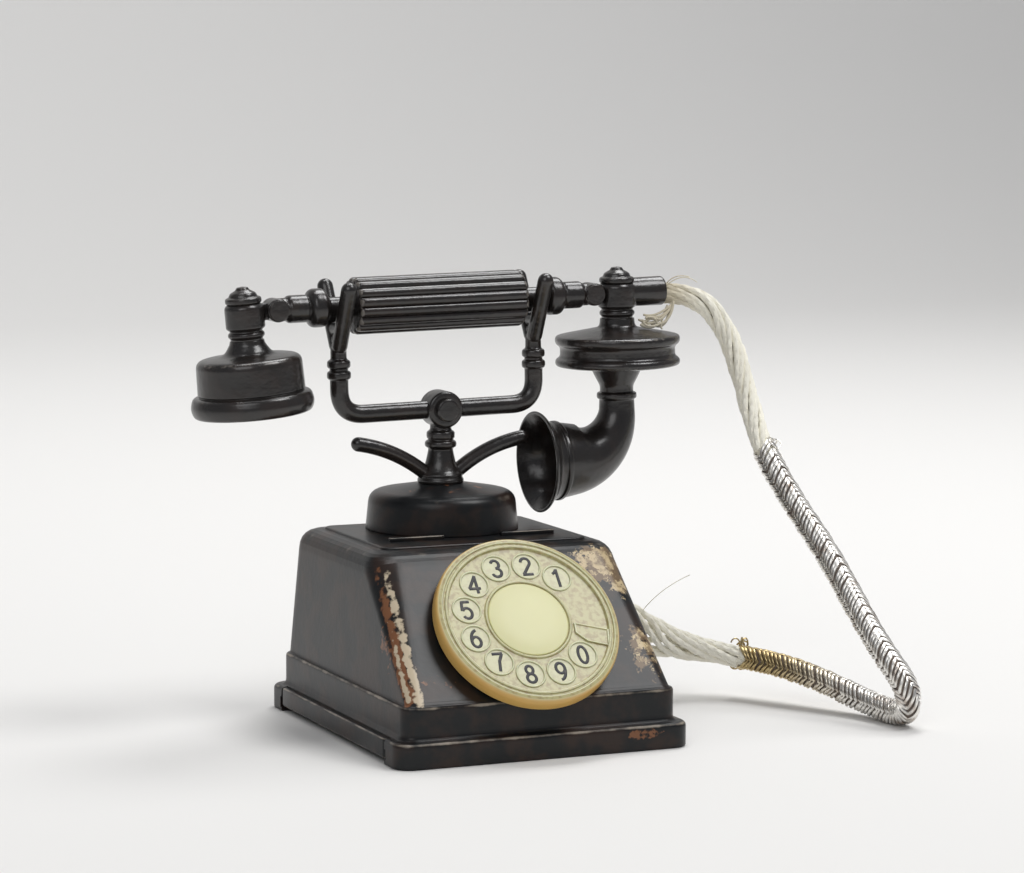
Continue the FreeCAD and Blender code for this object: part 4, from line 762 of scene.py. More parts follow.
def fork_shells():
    """Ringed end of a fork with two leaning prongs and the metal between them."""
    shells = [lathe(FORK_LINE, 48)]
    top = PRONG_ROOT + PRONG_LENGTH * math.cos(PRONG_LEAN)
    for reach in (-PRONG_LENGTH * math.sin(PRONG_LEAN), PRONG_LENGTH * math.sin(PRONG_LEAN)):
        half = (0, reach / 2, (PRONG_ROOT + top) / 2)
        shells.append(rod((0, 0, PRONG_ROOT), half, (0, reach, top), PRONG_RADIUS, (1, 0, 0)))
    for height, reach in WEBS:
        spots = ((0, -reach, height), (0, 0, height - WEB_SAG), (0, reach, height))
        shells.append(rod(*spots, WEB_RADIUS, (1, 0, 0)))
    return shells


class TELEPHONE_OT_cradle(Operator):
    """Post with its hub, wings, yoke and forks"""

    bl_idname = "telephone.cradle"
    bl_label = "Cradle"

    def execute(self, context):
        finish = (bronze_material(context.scene.telephone_metal), "bronzed")
        post = [lathe(POST_LINE), at(lathe(HUB_LINE), np.linalg.inv(POST) @ CRADLE @ TO_FRONT)]
        piece("post", post, POST, "base", finish, "cradle_post", voxel=POST_VOXEL)
        piece("hub_rivet", [lathe(PIN_LINE)], CRADLE @ TO_FRONT, "base", finish, "yoke_pin")
        wings = at_each([rod(*WING, (0, 1, 0))], (AS_IS, turned("Z", 180)))
        piece("wings", wings, POST, "base", finish, "wing_left", "wing_right")
        piece("yoke", [yoke_rod()], CRADLE, "base", finish, "yoke_bar")
        forks = at_each(fork_shells(), FORKS)
        piece("forks", forks, AS_IS, "base", finish, "fork_left", "fork_right", voxel=VOXEL)
        return {"FINISHED"}


# Handset

GRIP_RADIUS = 3.58
GRIP_LINE = (
    (0, -GRIP_HALF, 0), (GRIP_RADIUS, -GRIP_HALF, 0.6), (GRIP_RADIUS, GRIP_HALF, 0.6), (0, GRIP_HALF, 0),
)
RIB_COUNT = 16
RIB_WEAR = 0.6
GROOVE_DEPTH = 0.46
ARM_LINE = (
    (0, -0.4, 0), (1.25, -0.4, 0.05), (1.25, 3.15, 0.2), (1.55, 3.3, 0.15), (2.42, 3.75, 0.8),
    (2.42, 5.45, 0.8), (1.5, 5.95, 0.12), (1.72, 6.08, 0.1), (1.72, 8.35, 0.25), (1.45, 8.65, 0.12),
    (1.42, 9.9, 0.1), (0, 9.9, 0),
)
BARREL_LINE = ((0, -1.5, 0), (1.45, -1.5, 0.25), (1.45, 1.5, 0.25), (0, 1.5, 0))
RIVET_LINE = ((0, 1.3, 0), (1.28, 1.3, 0.02), (1.28, 1.74, 0.12), (0, 1.76, 0))
STEM_LINE = (
    (0, -3.32, 0), (2.0, -3.32, 0.02), (2.0, -2.95, 0.1), (2.26, -2.78, 0.2), (2.26, -2.36, 0.2),
    (1.98, -2.18, 0.08), (2.0, -2.04, 0.08), (2.42, -1.72, 0.15), (2.42, 0.85, 0.45), (2.05, 1.25, 0.1),
    (0, 1.25, 0),
)
SOCKET_LINE = (
    (0, 1.6, 0), (1.9, 1.6, 0.05), (1.85, 2.6, 0.2), (1.88, 6.35, 0.25), (1.4, 6.4, 0.15), (1.35, 3.3, 0.1),
    (0, 3.3, 0),
)
# Flat tongue of a stem in its knuckle: two corners and softness
TONGUE = ((-4.3, -0.6, -1.05), (-1.5, 0.6, 1.05), 0.25)
FINIAL_LINE = (
    (0, 1.2, 0), (1.95, 1.2, 0.05), (2.24, 1.38, 0.3), (2.24, 1.95, 0.3), (1.78, 2.12, 0.08),
    (1.6, 2.55, 0.4), (0.85, 2.95, 0.25), (0.72, 3.25, 0.2), (0, 3.36, 0),
)


def grip_surface(columns=384):
    """Ribbed grip along X.

    Its radius is the end's profile less a groove that grows as 1 - sqrt(abs(sin(angle * ribs / 2))) and
    runs out towards the ends. The crests of the ribs wear as outer edges do.
    """
    line, edge = rounded(GRIP_LINE, 9)
    angle = around(columns)
    crest = np.sqrt(np.abs(np.sin(angle * RIB_COUNT / 2)))
    radius = line[:, :1] - GROOVE_DEPTH * (1 - crest) * np.clip(line[:, :1] / GRIP_RADIUS, 0, 1) ** 4
    sides = np.broadcast_arrays(line[:, 1:], radius * np.cos(angle), radius * np.sin(angle))
    grid = np.stack(sides, axis=-1)
    points, quads, _ = shell(grid)
    wear = RIB_WEAR * np.broadcast_to(np.clip(crest - 0.75, 0, 1) * 4, grid.shape[:2]) + edge[:, None]
    return points, quads, wear.ravel()


class TELEPHONE_OT_handset(Operator):
    """Ribbed grip with its arms, knuckles, stems and buttons"""

    bl_idname = "telephone.handset"
    bl_label = "Handset"

    def execute(self, context):
        finish = (bronze_material(context.scene.telephone_metal), "bronzed")
        piece("grip", [grip_surface()], HANDSET, "handset", finish, "handset_grip")
        knuckle = moved(KNUCKLE, 0, 0) @ TO_FRONT
        arms = at_each([at(lathe(ARM_LINE, 64), ALONG_X), at(lathe(BARREL_LINE, 48), knuckle)], ARMS)
        piece("arms", arms, AS_IS, "handset", finish, "arm_left", "arm_right", voxel=VOXEL)
        sides = [place @ knuckle @ turn for place in ARMS for turn in (AS_IS, turned("X", 180))]
        heads = at_each([lathe(RIVET_LINE, 48)], sides)
        piece("knuckle_heads", heads, AS_IS, "handset", finish, "knuckle_rivets")
        stems = at_each([lathe(STEM_LINE, 64), slab(*TONGUE)], STEMS)
        stems.append(at(lathe(SOCKET_LINE, 64), STEMS[1] @ ALONG_X))
        piece("stems", stems, AS_IS, "handset", finish, "earpiece_stem", "mouthpiece_stem", voxel=VOXEL)
        buttons = at_each([lathe(FINIAL_LINE, 64)], STEMS)
        piece("buttons", buttons, AS_IS, "handset", finish, "earpiece_finial", "mouthpiece_finial")
        return {"FINISHED"}


# Receiver and transmitter

BELL_LINE = (
    (0, -3.25, 0), (2.1, -3.25, 0.05), (2.2, -3.7, 0.2), (3.0, -4.95, 1.8), (6.5, -5.4, 0.9),
    (6.62, -9.5, 0.12), (6.5, -9.68, 0.08), (7.3, -9.92, 0.5), (7.66, -11.2, 0.8), (7.25, -12.34, 0.5),
    (6.3, -12.4, 0.2), (5.75, -11.9, 0.3), (5.6, -7.1, 0.6), (4.6, -6.35, 0.4), (0, -6.3, 0),
)
CAPSULE_LINE = (
    (0, -3.25, 0), (2.2, -3.25, 0.05), (2.3, -4.35, 0.9), (7.2, -5.3, 0.3), (8.02, -5.5, 0.4),
    (8.02, -6.4, 0.4), (7.4, -6.85, 0.4), (7.4, -8.1, 0.4), (8.02, -8.5, 0.4), (8.0, -9.25, 0.4),
    (7.0, -9.45, 0.3), (2.9, -9.6, 0.1), (0, -9.6, 0),
)
# Outer radius of the horn's straight neck by height
HORN_NECK = (
    (3.35, -9.5, 0), (2.8, -10.7, 0.9), (2.15, -11.9, 0.8), (2.15, -12.7, 0.12), (2.56, -12.85, 0.2),
    (2.56, -13.5, 0.22), (2.25, -13.68, 0.12), (2.3, -14.9, 0),
)
# The horn's mouth and the hollow behind it: radius by distance along its level axis
HORN_MOUTH = (
    (4.55, 6.2, 0), (4.9, 8.4, 0.1), (5.12, 8.55, 0.15), (5.12, 9.0, 0.15), (4.92, 9.15, 0.1),
    (5.25, 10.15, 0.8), (6.4, 11.1, 0.2), (6.5, 11.4, 0.12), (6.15, 11.45, 0.08), (4.95, 9.95, 1.0),
    (4.3, 8.4, 0.8), (3.8, 6.2, 0.8), (2.4, 5.0, 0.6), (0, 4.8, 0),
)
# Quarter bend of the horn: radius of its middle line, height that it starts at, and radius of the pipe at
# its start and end
BEND_RADIUS = 6.2
BEND_HEIGHT = -14.9
BEND_PIPE = (2.3, 4.55)
# The horn sits a little to the left of the capsule's axis
HORN_SHIFT = -0.2


def horn_surface(columns=96):
    """Pipe that goes down, round a quarter bend, out through a flared mouth and back along its hollow.

    Each ring is centre + radius * (cos(angle) * (cos(turn), 0, -sin(turn)) + sin(angle) * Y), where the
    turn goes from nothing on the neck to a quarter at the mouth. In the bend the radius grows with
    share^1.25.
    """
    neck, neck_edge = rounded(HORN_NECK)
    mouth, mouth_edge = rounded(HORN_MOUTH)
    share = np.linspace(0, 1, 40)[1:-1]
    bend = share * math.pi / 2
    level = 0 * mouth[:, 0]
    start, end = BEND_PIPE
    radius = np.concatenate([[0], neck[:, 0], start + (end - start) * share ** 1.25, mouth[:, 0]])[:, None]
    turn = np.concatenate([[0], 0 * neck[:, 0], bend, level + math.pi / 2])[:, None]
    x = np.concatenate([[0], 0 * neck[:, 0], -BEND_RADIUS * (1 - np.cos(bend)), -mouth[:, 1]])[:, None]
    z = np.concatenate([neck[:1, 1], neck[:, 1], BEND_HEIGHT - BEND_RADIUS * np.sin(bend),
                        level + BEND_HEIGHT - BEND_RADIUS])[:, None]
    edge = np.concatenate([[0], neck_edge, 0 * share, mouth_edge])
    angle = around(columns)
    across = radius * np.cos(angle)
    grid = (x + across * np.cos(turn), radius * np.sin(angle), z - across * np.sin(turn))
    return shell(np.stack(grid, axis=-1), edge)


class TELEPHONE_OT_ends(Operator):
    """Bell of the receiver, capsule and horn of the transmitter"""

    bl_idname = "telephone.ends"
    bl_label = "Receiver and transmitter"

    def execute(self, context):
        finish = (bronze_material(context.scene.telephone_metal), "bronzed")
        piece("receiver_bell", [lathe(BELL_LINE, 128)], STEMS[0], "handset", finish, "earpiece_bell")
        piece("capsule", [lathe(CAPSULE_LINE, 128)], STEMS[1], "handset", finish, "mouthpiece_capsule")
        place = STEMS[1] @ moved(HORN_SHIFT, 0, 0)
        piece("horn", [horn_surface()], place, "handset", finish, "mouthpiece_horn")
        return {"FINISHED"}


# Hidden metal

# Its clean and its dull tone
STEEL = (0.45, 0.43, 0.40, 1.0)
DULL_STEEL = (0.28, 0.25, 0.22, 1.0)


class TELEPHONE_OT_fixings(Operator):
    """Plain metal of the rod, washer, pivot and nut inside"""

    bl_idname = "telephone.fixings"
    bl_label = "Fixings"

    def execute(self, context):
        made, tree, shader = material("plain_steel")
        casting = placed(tree, "Casting", {"Grain": 3000.0, "Depth": 0.05, "Blotch": 600.0})
        tone = mixed(tree, casting["Blotches"], STEEL, DULL_STEEL)
        feed(tree, shader, {"Base Color": tone, "Normal": casting["Normal"], "Metallic": 1.0,
                            "Roughness": 0.4})
        shading = shade_group()
        for name in ("handset_rod", "stud_washer", "dial_pivot", "dial_nut"):
            item = frame["nodes"][name]
            item.modifiers.new("Shade by angle", "NODES").node_group = shading
            dress(item, made, "plain_steel")
        return {"FINISHED"}


# Paint and bronze

# Worn patches of the base: what they show, middle and reach along each axis in metres, grain, and share.
# Brown stains lie round the bare scuffs.
PATCHES = (
    ("copper", (0.0128, -0.0222, 0.0020), (0.0040, 0.0020, 0.0012), 420.0, 0.42),
    ("copper", (-0.0135, -0.0185, 0.0098), (0.0040, 0.0040, 0.0030), 300.0, 0.25),
    ("copper", (-0.0168, -0.0130, 0.0130), (0.0020, 0.0075, 0.0075), 350.0, 0.26),
    ("copper", (0.0, 0.0106, 0.0289), (0.0090, 0.0090, 0.0016), 420.0, 0.22),
    ("stain", (0.0132, -0.0090, 0.0207), (0.0068, 0.0054, 0.0052), 600.0, 0.44),
    ("stain", (0.0150, -0.0170, 0.0115), (0.0042, 0.0074, 0.0070), 560.0, 0.38),
    ("scuff", (0.0130, -0.0085, 0.0212), (0.0055, 0.0042, 0.0040), 800.0, 0.44),
    ("scuff", (0.0145, -0.0110, 0.0180), (0.0028, 0.0030, 0.0030), 900.0, 0.40),
    ("scuff", (0.0150, -0.0170, 0.0115), (0.0032, 0.0060, 0.0056), 760.0, 0.36),
)
# Edge between left wall and front wall where the paint has gone and a highlight is painted along it
EDGE = ((-0.0152, -0.0082, 0.0213), (-0.0157, -0.0206, 0.0077))
# Worn lines along it, the bare metal ones also a painted highlight: what they show, how far they lie to its
# side, width and grain
EDGE_LINES = (
    ("copper", (-0.0010, 0.0009, 0.0), 0.0011, 900.0), ("metal", (0.0, 0.0, 0.0), 0.0008, 1100.0),
    ("metal", (-0.0011, 0.0010, 0.0), 0.0005, 1500.0),
)
# Tones of the worn places; bare metal and worn paint also stand for painted highlights along edges
STAIN = (0.17, 0.115, 0.065, 1.0)
SCUFF_SHADE = (0.24, 0.17, 0.10, 1.0)
BARE_METAL_AND_HIGHLIGHT = (0.55, 0.46, 0.33, 1.0)
WORN_PAINT_AND_HIGHLIGHT = (0.30, 0.26, 0.21, 1.0)
BRONZE_BLOTCH = (0.04, 0.024, 0.018, 1.0)
WORN_BRONZE = (0.13, 0.115, 0.10, 1.0)


def paint_material(settings):
    """Dark gloss over copper, worn through along edges and in patches, with painted highlights along its
    edges.
    """
    made, tree, shader = material("cast_base")
    casting = placed(tree, "Casting", {"Grain": 1500.0, "Depth": 0.10, "Blotch": 260.0})
    tone = mixed(tree, sums(tree, "MULTIPLY", casting["Blotches"], 0.10), settings.paint, settings.copper)
    patchy = stepped(tree, noise(tree, spot_of(tree), 1300.0, 6.0), 0.36, 0.58)
    scuff = mixed(tree, patchy, SCUFF_SHADE, settings.tan)
    layers = {"copper": settings.copper, "stain": STAIN, "scuff": scuff, "metal": BARE_METAL_AND_HIGHLIGHT}
    masks = {shown: [] for shown in layers}
    shift = PLINTH[:3, 3] * MM
    for shown, spot, reach, grain, share in PATCHES:
        inputs = {"Middle": shift + spot, "Reach": reach, "Grain": grain, "Share": share}
        masks[shown].append(placed(tree, "Scuff", inputs)["Mask"])
    # The bare metal lines along the front-left edge are partly worn metal and partly a painted highlight
    for shown, aside, width, grain in EDGE_LINES:
        start, end = (shift + spot + aside for spot in EDGE)
        inputs = {"Start": start, "End": end, "Width": width, "Grain": grain}
        masks[shown].append(placed(tree, "Worn line", inputs)["Mask"])
    for shown, layer in layers.items():
        for mask in masks[shown]:
            tone = mixed(tree, mask, tone, layer)
    # The worn edge tone is partly worn paint and partly a painted highlight along the base's edges
    worn = placed(tree, "Worn edge", {"Grain": 380.0, "Low": 0.75, "High": 1.2})["Mask"]
    tone = mixed(tree, worn, tone, WORN_PAINT_AND_HIGHLIGHT)
    feed(tree, shader, {"Base Color": tone, "Normal": casting["Normal"], "Roughness": 0.32,
                        "Specular IOR Level": 0.3})
    return made


def bronze_material(settings):
    """Near-black bronzed metal, brighter where its outer edges are worn."""
    if "aged_bronze" in bpy.data.materials:
        return bpy.data.materials["aged_bronze"]
    made, tree, shader = material("aged_bronze")
    casting = placed(tree, "Casting", {"Grain": 1400.0, "Depth": 0.22, "Blotch": 420.0})
    tone = mixed(tree, sums(tree, "MULTIPLY", casting["Blotches"], 0.3), settings.bronze, BRONZE_BLOTCH)
    worn = placed(tree, "Worn edge", {"Grain": 1500.0, "Low": 0.85, "High": 1.3})["Mask"]
    tone = mixed(tree, worn, tone, WORN_BRONZE)
    feed(tree, shader, {"Base Color": tone, "Normal": casting["Normal"], "Roughness": 0.25,
                        "Specular IOR Level": 0.7})
    return made


# Dial

# Digits in order round the dial, on a circle, from the first angle on
DIGITS = "1234567890"
DIGIT_CIRCLE = 7.7
DIGIT_START = 46.0
DIGIT_PITCH = 30.0
FACE_HEIGHT = 2.3
# Half the thickness of the digits
DIGIT_THICK = 0.05
# Rings round the digits: radius, half the thickness of their wire, and its height above the face
RING_RADIUS = 1.75
RING_WIRE = 0.13
RING_LIFT = 0.03
# Distances in metres over which the pale field ends inside a ring, and the face passes into the side
RING_FIELD = (0.00172, 0.00160)
SIDE = (0.0111, 0.0115)
# Second tones of ink, ivory and cream
FADED_INK = (0.10, 0.09, 0.08, 1.0)
SPECKS = (0.37, 0.30, 0.15, 1.0)
CLOUDS = (0.58, 0.56, 0.27, 1.0)
# Profile of the plate; its raised lines get edge values that paint them pale as a highlight
PLATE_LINE = (
    (0, 0.25, 0), (11.15, 0.25, 0.2), (11.5, 0.65, 0.4), (11.55, 1.9, 0.2), (11.42, 2.52, 0.5),
    (10.8, 2.66, 0.12), (10.68, 2.46, 0.06), (10.5, 2.46, 0.05), (10.4, 2.66, 0.09), (10.16, 2.66, 0.09),
    (10.02, 2.3, 0.08), (5.5, 2.3, 0.06), (5.38, 2.52, 0.09), (5.2, 2.52, 0.09), (5.1, 2.3, 0.04),
    (0, 2.3, 0),
)
CENTRE_LINE = ((0, 2.1, 0), (5.06, 2.1, 0.02), (5.06, 2.42, 0.16), (3.4, 2.55, 1.4), (0, 2.58, 0))
# Outline of the moulded finger stop, and its rows: share of the outline, height and edge value, which paints
# its rim pale as a highlight
STOP = ((5.6, -0.95), (9.85, -2.2), (9.35, -4.45), (6.7, -3.6), (5.45, -2.3))
STOP_ROWS = (
    (0, -0.1, 0), (1, -0.1, 0), (1, 0.16, 0.5), (0.98, 0.24, 1),
    (0.92, 0.24, 1), (0.88, 0.1, 0), (0, 0.1, 0),
)


def arc(x, y, wide, high, start, end, samples=24):
    """Part of an ellipse between two angles: (x + wide * cos(angle), y + high * sin(angle)), in degrees."""
    angle = np.radians(np.linspace(start, end, samples))
    return np.stack([x + wide * np.cos(angle), y + high * np.sin(angle)], axis=1)


def strokes():
    """Strokes of the ten digits in a box of height one about the middle, as lines of points."""
    def line(*spots):
        return np.array(spots)

    bowl = [arc(0, -0.16, 0.2, 0.25, 0, 365), arc(0.12, -0.14, 0.32, 0.55, 95, 180)]
    return {
        "0": [arc(0, 0, 0.2, 0.41, 0, 365)],
        "1": [line((-0.14, 0.22), (-0.02, 0.3), (0.06, 0.41)), line((0.06, 0.45), (0.06, 0), (0.06, -0.45))],
        "2": [np.concatenate([arc(0, 0.2, 0.2, 0.21, 175, -35), line((-0.02, -0.16), (-0.2, -0.4))]),
              line((-0.25, -0.41), (0, -0.41), (0.24, -0.41))],
        "3": [arc(0, 0.21, 0.18, 0.2, 160, -95), arc(0, -0.2, 0.21, 0.21, 95, -165)],
        "4": [line((0.1, -0.45), (0.1, 0), (0.1, 0.43)), line((0.12, 0.43), (-0.06, 0.13), (-0.26, -0.2)),
              line((-0.28, -0.2), (0, -0.2), (0.26, -0.2))],
        "5": [line((0.21, 0.41), (0, 0.41), (-0.16, 0.41)), line((-0.13, 0.44), (-0.17, 0.2), (-0.2, -0.02)),
              arc(0, -0.15, 0.21, 0.26, 150, -150)],
        "6": bowl,
        "7": [line((-0.24, 0.41), (0, 0.41), (0.24, 0.41)), line((0.21, 0.4), (0.03, 0.05), (-0.06, -0.45))],
        "8": [arc(0, 0.21, 0.16, 0.19, 0, 365), arc(0, -0.2, 0.2, 0.21, 0, 365)],
        "9": [-one for one in bowl],
    }


def ring_spot(number):
    """Middle of a digit's ring on the dial's face."""
    angle = math.radians(DIGIT_START + DIGIT_PITCH * number)
    return DIGIT_CIRCLE * math.cos(angle), DIGIT_CIRCLE * math.sin(angle)


def digit_shells(settings):
    """Digits as flat bands along their strokes, upright on the dial's face."""
    shapes = strokes()
    shells = []
    for number, digit in enumerate(DIGITS):
        x, y = ring_spot(number)
        for line in shapes[digit]:
            path = np.pad(line * settings.digit_height / MM, ((0, 0), (0, 1)))
            flat = band(path, np.array((0.0, 0.0, 1.0)), settings.digit_weight / MM, DIGIT_THICK, 8)
            shells.append(at(flat, moved(x, y, FACE_HEIGHT)))
    return shells


def hoop(radius, thick, samples=11, columns=48):
    """Round wire bent to a circle: radius + thick * cos(turn) round the circle, and thick * sin(turn) up."""
    turn = np.linspace(0, FULL_TURN, samples)[:, None]
    angle = around(columns)
    far = radius + thick * np.cos(turn)
    grid = np.broadcast_arrays(far * np.cos(angle), far * np.sin(angle), thick * np.sin(turn))
    # The upper half of the wire gets edge values, which paint its top pale as a highlight
    return shell(np.stack(grid, axis=-1), np.clip(np.sin(turn), 0, 1))


def stop_shell():
    """Finger stop: its outline drawn up from the face to a raised rim round a lower middle."""
    corners = np.array(STOP + STOP[:1])
    share = np.linspace(0, 1, 8, endpoint=False)[None, :, None]
    line = (corners[:-1, None] * (1 - share) + corners[1:, None] * share).reshape(-1, 2)
    centre = line.mean(axis=0)
    rows = [np.pad(centre + (line - centre) * scale, ((0, 0), (0, 1)), constant_values=FACE_HEIGHT + height)
            for scale, height, _ in STOP_ROWS]
    return shell(np.stack(rows), [edge for _, _, edge in STOP_ROWS])


class TELEPHONE_OT_dial(Operator):
    """Plate with its rings and finger stop, smooth centre and digits of the dial"""

    bl_idname = "telephone.dial"
    bl_label = "Dial"

    def execute(self, context):
        settings = context.scene.telephone_dial
        ink, ivory, cream = dial_materials(settings)
        spots = [moved(*ring_spot(number), FACE_HEIGHT + RING_LIFT) for number in range(len(DIGITS))]
        plate = [lathe(PLATE_LINE, 160), stop_shell(), *at_each([hoop(RING_RADIUS, RING_WIRE)], spots)]
        piece("dial_plate", plate, DIAL, "dial", (ivory, "ivory"), "dial_disc")
        piece("dial_centre", [lathe(CENTRE_LINE, 96)], DIAL, "dial", (cream, "cream"), "dial_cap")
        piece("dial_digits", digit_shells(settings), DIAL, "dial", (ink, "ivory"))
        return {"FINISHED"}


def dial_materials(settings):
    """Worn ink, speckled ivory that is paler in the rings, with painted highlights on its raised lines and
    amber on its side, and smooth cream.
    """
    ink, tree, shader = material("ink")
    faded = stepped(tree, noise(tree, spot_of(tree), 1500.0), 0.5, 0.8)
    tone = mixed(tree, faded, settings.ink, FADED_INK)
    feed(tree, shader, {"Base Color": tone, "Roughness": 0.5})
    plastic = {"Roughness": 0.32, "Subsurface Weight": 0.15, "Subsurface Radius": (0.8, 0.5, 0.2),
               "Subsurface Scale": 0.0008}
    ivory, tree, shader = material("ivory")
    spot = spot_of(tree)
    across, up, far = dial_spot(tree, spot)
    speck = stepped(tree, noise(tree, spot, 1500.0, 6.0), 0.42, 0.66)
    face = mixed(tree, speck, settings.ivory, SPECKS)
    fields = sums(tree, "MULTIPLY", inside_rings(tree, across, up, far), 0.55)
    # Pale inside the rings is the plastic's colour; pale on raised lines is a painted highlight
    for mask in (fields, stepped(tree, edge_of(tree), 0.15, 0.7)):
        face = mixed(tree, mask, face, settings.pale)
    tone = mixed(tree, stepped(tree, far, *SIDE), face, settings.amber)
    feed(tree, shader, {"Base Color": tone, **plastic})
    cream, tree, shader = material("cream")
    tone = mixed(tree, noise(tree, spot_of(tree), 250.0), settings.cream, CLOUDS)
    feed(tree, shader, {"Base Color": tone, **plastic})
    return ink, ivory, cream


def far_off(tree, across, up):
    """Distance that two lengths square to each other come to: the root of the sum of their squares."""
    squares = sums(tree, "ADD", sums(tree, "MULTIPLY", across, across), sums(tree, "MULTIPLY", up, up))
    return sums(tree, "POWER", squares, 0.5)


def dial_spot(tree, spot):
    """A spot's distance to the right of the dial's axis, above it, and from it."""
    away = vectors(tree, "SUBTRACT", spot, DIAL[:3, 3] * MM)
    across, up = (vectors(tree, "DOT_PRODUCT", away, DIAL[:3, axis]) for axis in (0, 1))
    return across, up, far_off(tree, across, up)


def inside_rings(tree, across, up, far):
    """Mask of the ten round fields: one field repeats by angle, and lies near the digits' circle."""
    half_pitch = math.radians(DIGIT_PITCH / 2)
    angle = sums(tree, "SUBTRACT", sums(tree, "ARCTAN2", up, across), math.radians(DIGIT_START))
    part = sums(tree, "PINGPONG", sums(tree, "ADD", angle, FULL_TURN), half_pitch)
    inward = sums(tree, "SUBTRACT", far, DIGIT_CIRCLE * MM)
    field = stepped(tree, far_off(tree, sums(tree, "MULTIPLY", part, far), inward), *RING_FIELD)
    turn = sums(tree, "FRACT", sums(tree, "DIVIDE", sums(tree, "ADD", angle, half_pitch), FULL_TURN))
    last = len(DIGITS) * DIGIT_PITCH / 360
    return sums(tree, "MULTIPLY", field, stepped(tree, turn, last + 0.001, last - 0.001))


# Cord

# Points of the cord from the handset's socket to the hole in the base, about the plinth's middle
ROUTE = (
    (28.3, 10.6, 52.3), (33.2, 10.6, 52.4), (37.3, 10.4, 50.7), (39.9, 9.4, 46.5), (40.7, 7.0, 41.3),
    (40.7, 4.2, 36.4), (41.0, 1.0, 31.8), (42.7, -3.2, 26.3), (45.0, -8.8, 19.9), (46.3, -14.6, 13.3),
    (47.1, -19.0, 9.1), (48.1, -22.8, 5.8), (48.7, -23.0, 3.3), (49.0, -21.1, 1.5), (48.6, -18.2, 1.5),
    (47.3, -13.0, 2.2), (44.9, -7.6, 3.8), (42.0, -1.6, 5.0), (39.2, 2.8, 5.4), (35.4, 6.0, 6.0),
    (30.6, 7.4, 7.4), (26.2, 7.8, 9.6), (22.2, 8.0, 11.5), (18.7, 8.0, 12.5), (15.1, 8.0, 12.5),
)
# Shares of the cord's length between which it is wound
WOUND = (0.243, 0.792)
# Shares of its length between which its strands splay out, least and further splay, and their closeness
# under the winding
SPLAY = (0.80, 1.02)
SPLAY_LEAST, SPLAY_FURTHER = 0.5, 1.1
BOUND = 0.8
# Sways of a strand round the rope and out from it: how far, and over what length
SLOW_SWAY = (0.16, 4.3)
QUICK_SWAY = (0.05, 1.4)
OUT_SWAY = (0.08, 4.1)
# Lobes of a strand's yarn: their number, how far they swell and the length of one turn
LOBES, LOBE_SWELL, LOBE_PITCH = 3, 0.07, 1.5
# Stitches: slant in pitches, angle that their columns start at, length in which they turn by one radian,
# dip between two columns, and half the thickness of their thread
STITCH_SLANT, STITCH_START, STITCH_DRIFT = 1.35, 3.62, 150.0
STITCH_DIP, THREAD_THICK = 0.2, 0.17
# Dark sleeve under the winding, a painted shade between the stitches: shares of the cord's length that its
# ends stay back, and depth below the stitches
SLEEVE_BACK, SLEEVE_DEPTH = (0.009, 0.012), 0.16
# Number of loose loops at the two ends of the winding
LOOPS = (9, 20)
# Second tones of cotton and silver, and tones of the painted shade under the winding
STAINED = (0.36, 0.28, 0.14, 1.0)
TARNISH = (0.22, 0.13, 0.07, 1.0)
SHADE_SLEEVE_TONES = ((0.10, 0.075, 0.06, 1.0), (0.22, 0.18, 0.15, 1.0))
# In metres: X and Z over which the cotton's stain sets in, and Y and Z over which the silver yellows
STAIN_X, STAIN_Z = (0.037, 0.031), (0.045, 0.050)
YELLOW_Y, YELLOW_Z = (-0.014, 0.0), (0.014, 0.008)
# Direction that the cord never runs along, from which its strands' turns are counted
CORD_SIDE = np.array((0.63, -0.10, 0.77))
# Loose fibres: a direction that none runs along, then start, control point, end and radius of each
FIBRE_SIDE = (0.2, 0.9, 0.3)
FIBRES = (
    ((25.6, 6.6, 10.9), (27.6, 5.2, 14.6), (32.3, 5.0, 16.3), 0.06),
    ((30.9, 9.7, 53.4), (32.8, 9.0, 55.2), (34.9, 9.0, 53.7), 0.07),
    ((31.0, 10.0, 53.6), (32.0, 9.5, 55.0), (33.9, 9.2, 54.4), 0.07),
    ((31.6, 9.2, 51.2), (29.3, 8.4, 47.6), (26.2, 8.4, 49.2), 0.16),
    ((31.4, 9.4, 51.0), (30.2, 8.4, 47.0), (27.9, 8.4, 48.8), 0.20),
    ((31.5, 9.0, 51.4), (31.0, 8.4, 48.6), (28.6, 8.4, 48.3), 0.18),
    ((31.4, 9.1, 51.0), (28.6, 8.2, 49.2), (26.8, 8.2, 49.8), 0.15),
    ((31.2, 9.1, 50.8), (29.6, 8.1, 48.6), (27.2, 8.2, 48.7), 0.20),
    ((31.2, 9.3, 50.8), (29.9, 8.3, 49.2), (28.0, 8.2, 49.5), 0.16),
    ((30.8, 9.3, 50.9), (28.9, 8.2, 48.0), (29.6, 8.2, 47.9), 0.12),
    ((29.4, 8.3, 48.7), (27.6, 8.0, 47.7), (26.4, 8.2, 48.6), 0.20),
    ((29.2, 8.2, 49.1), (27.4, 8.0, 49.6), (26.6, 8.3, 48.4), 0.18),
    ((28.9, 8.3, 48.4), (28.2, 7.8, 49.9), (27.0, 8.1, 49.3), 0.17),
    ((28.4, 8.1, 48.3), (26.6, 7.9, 48.2), (26.8, 8.2, 49.2), 0.16),
)


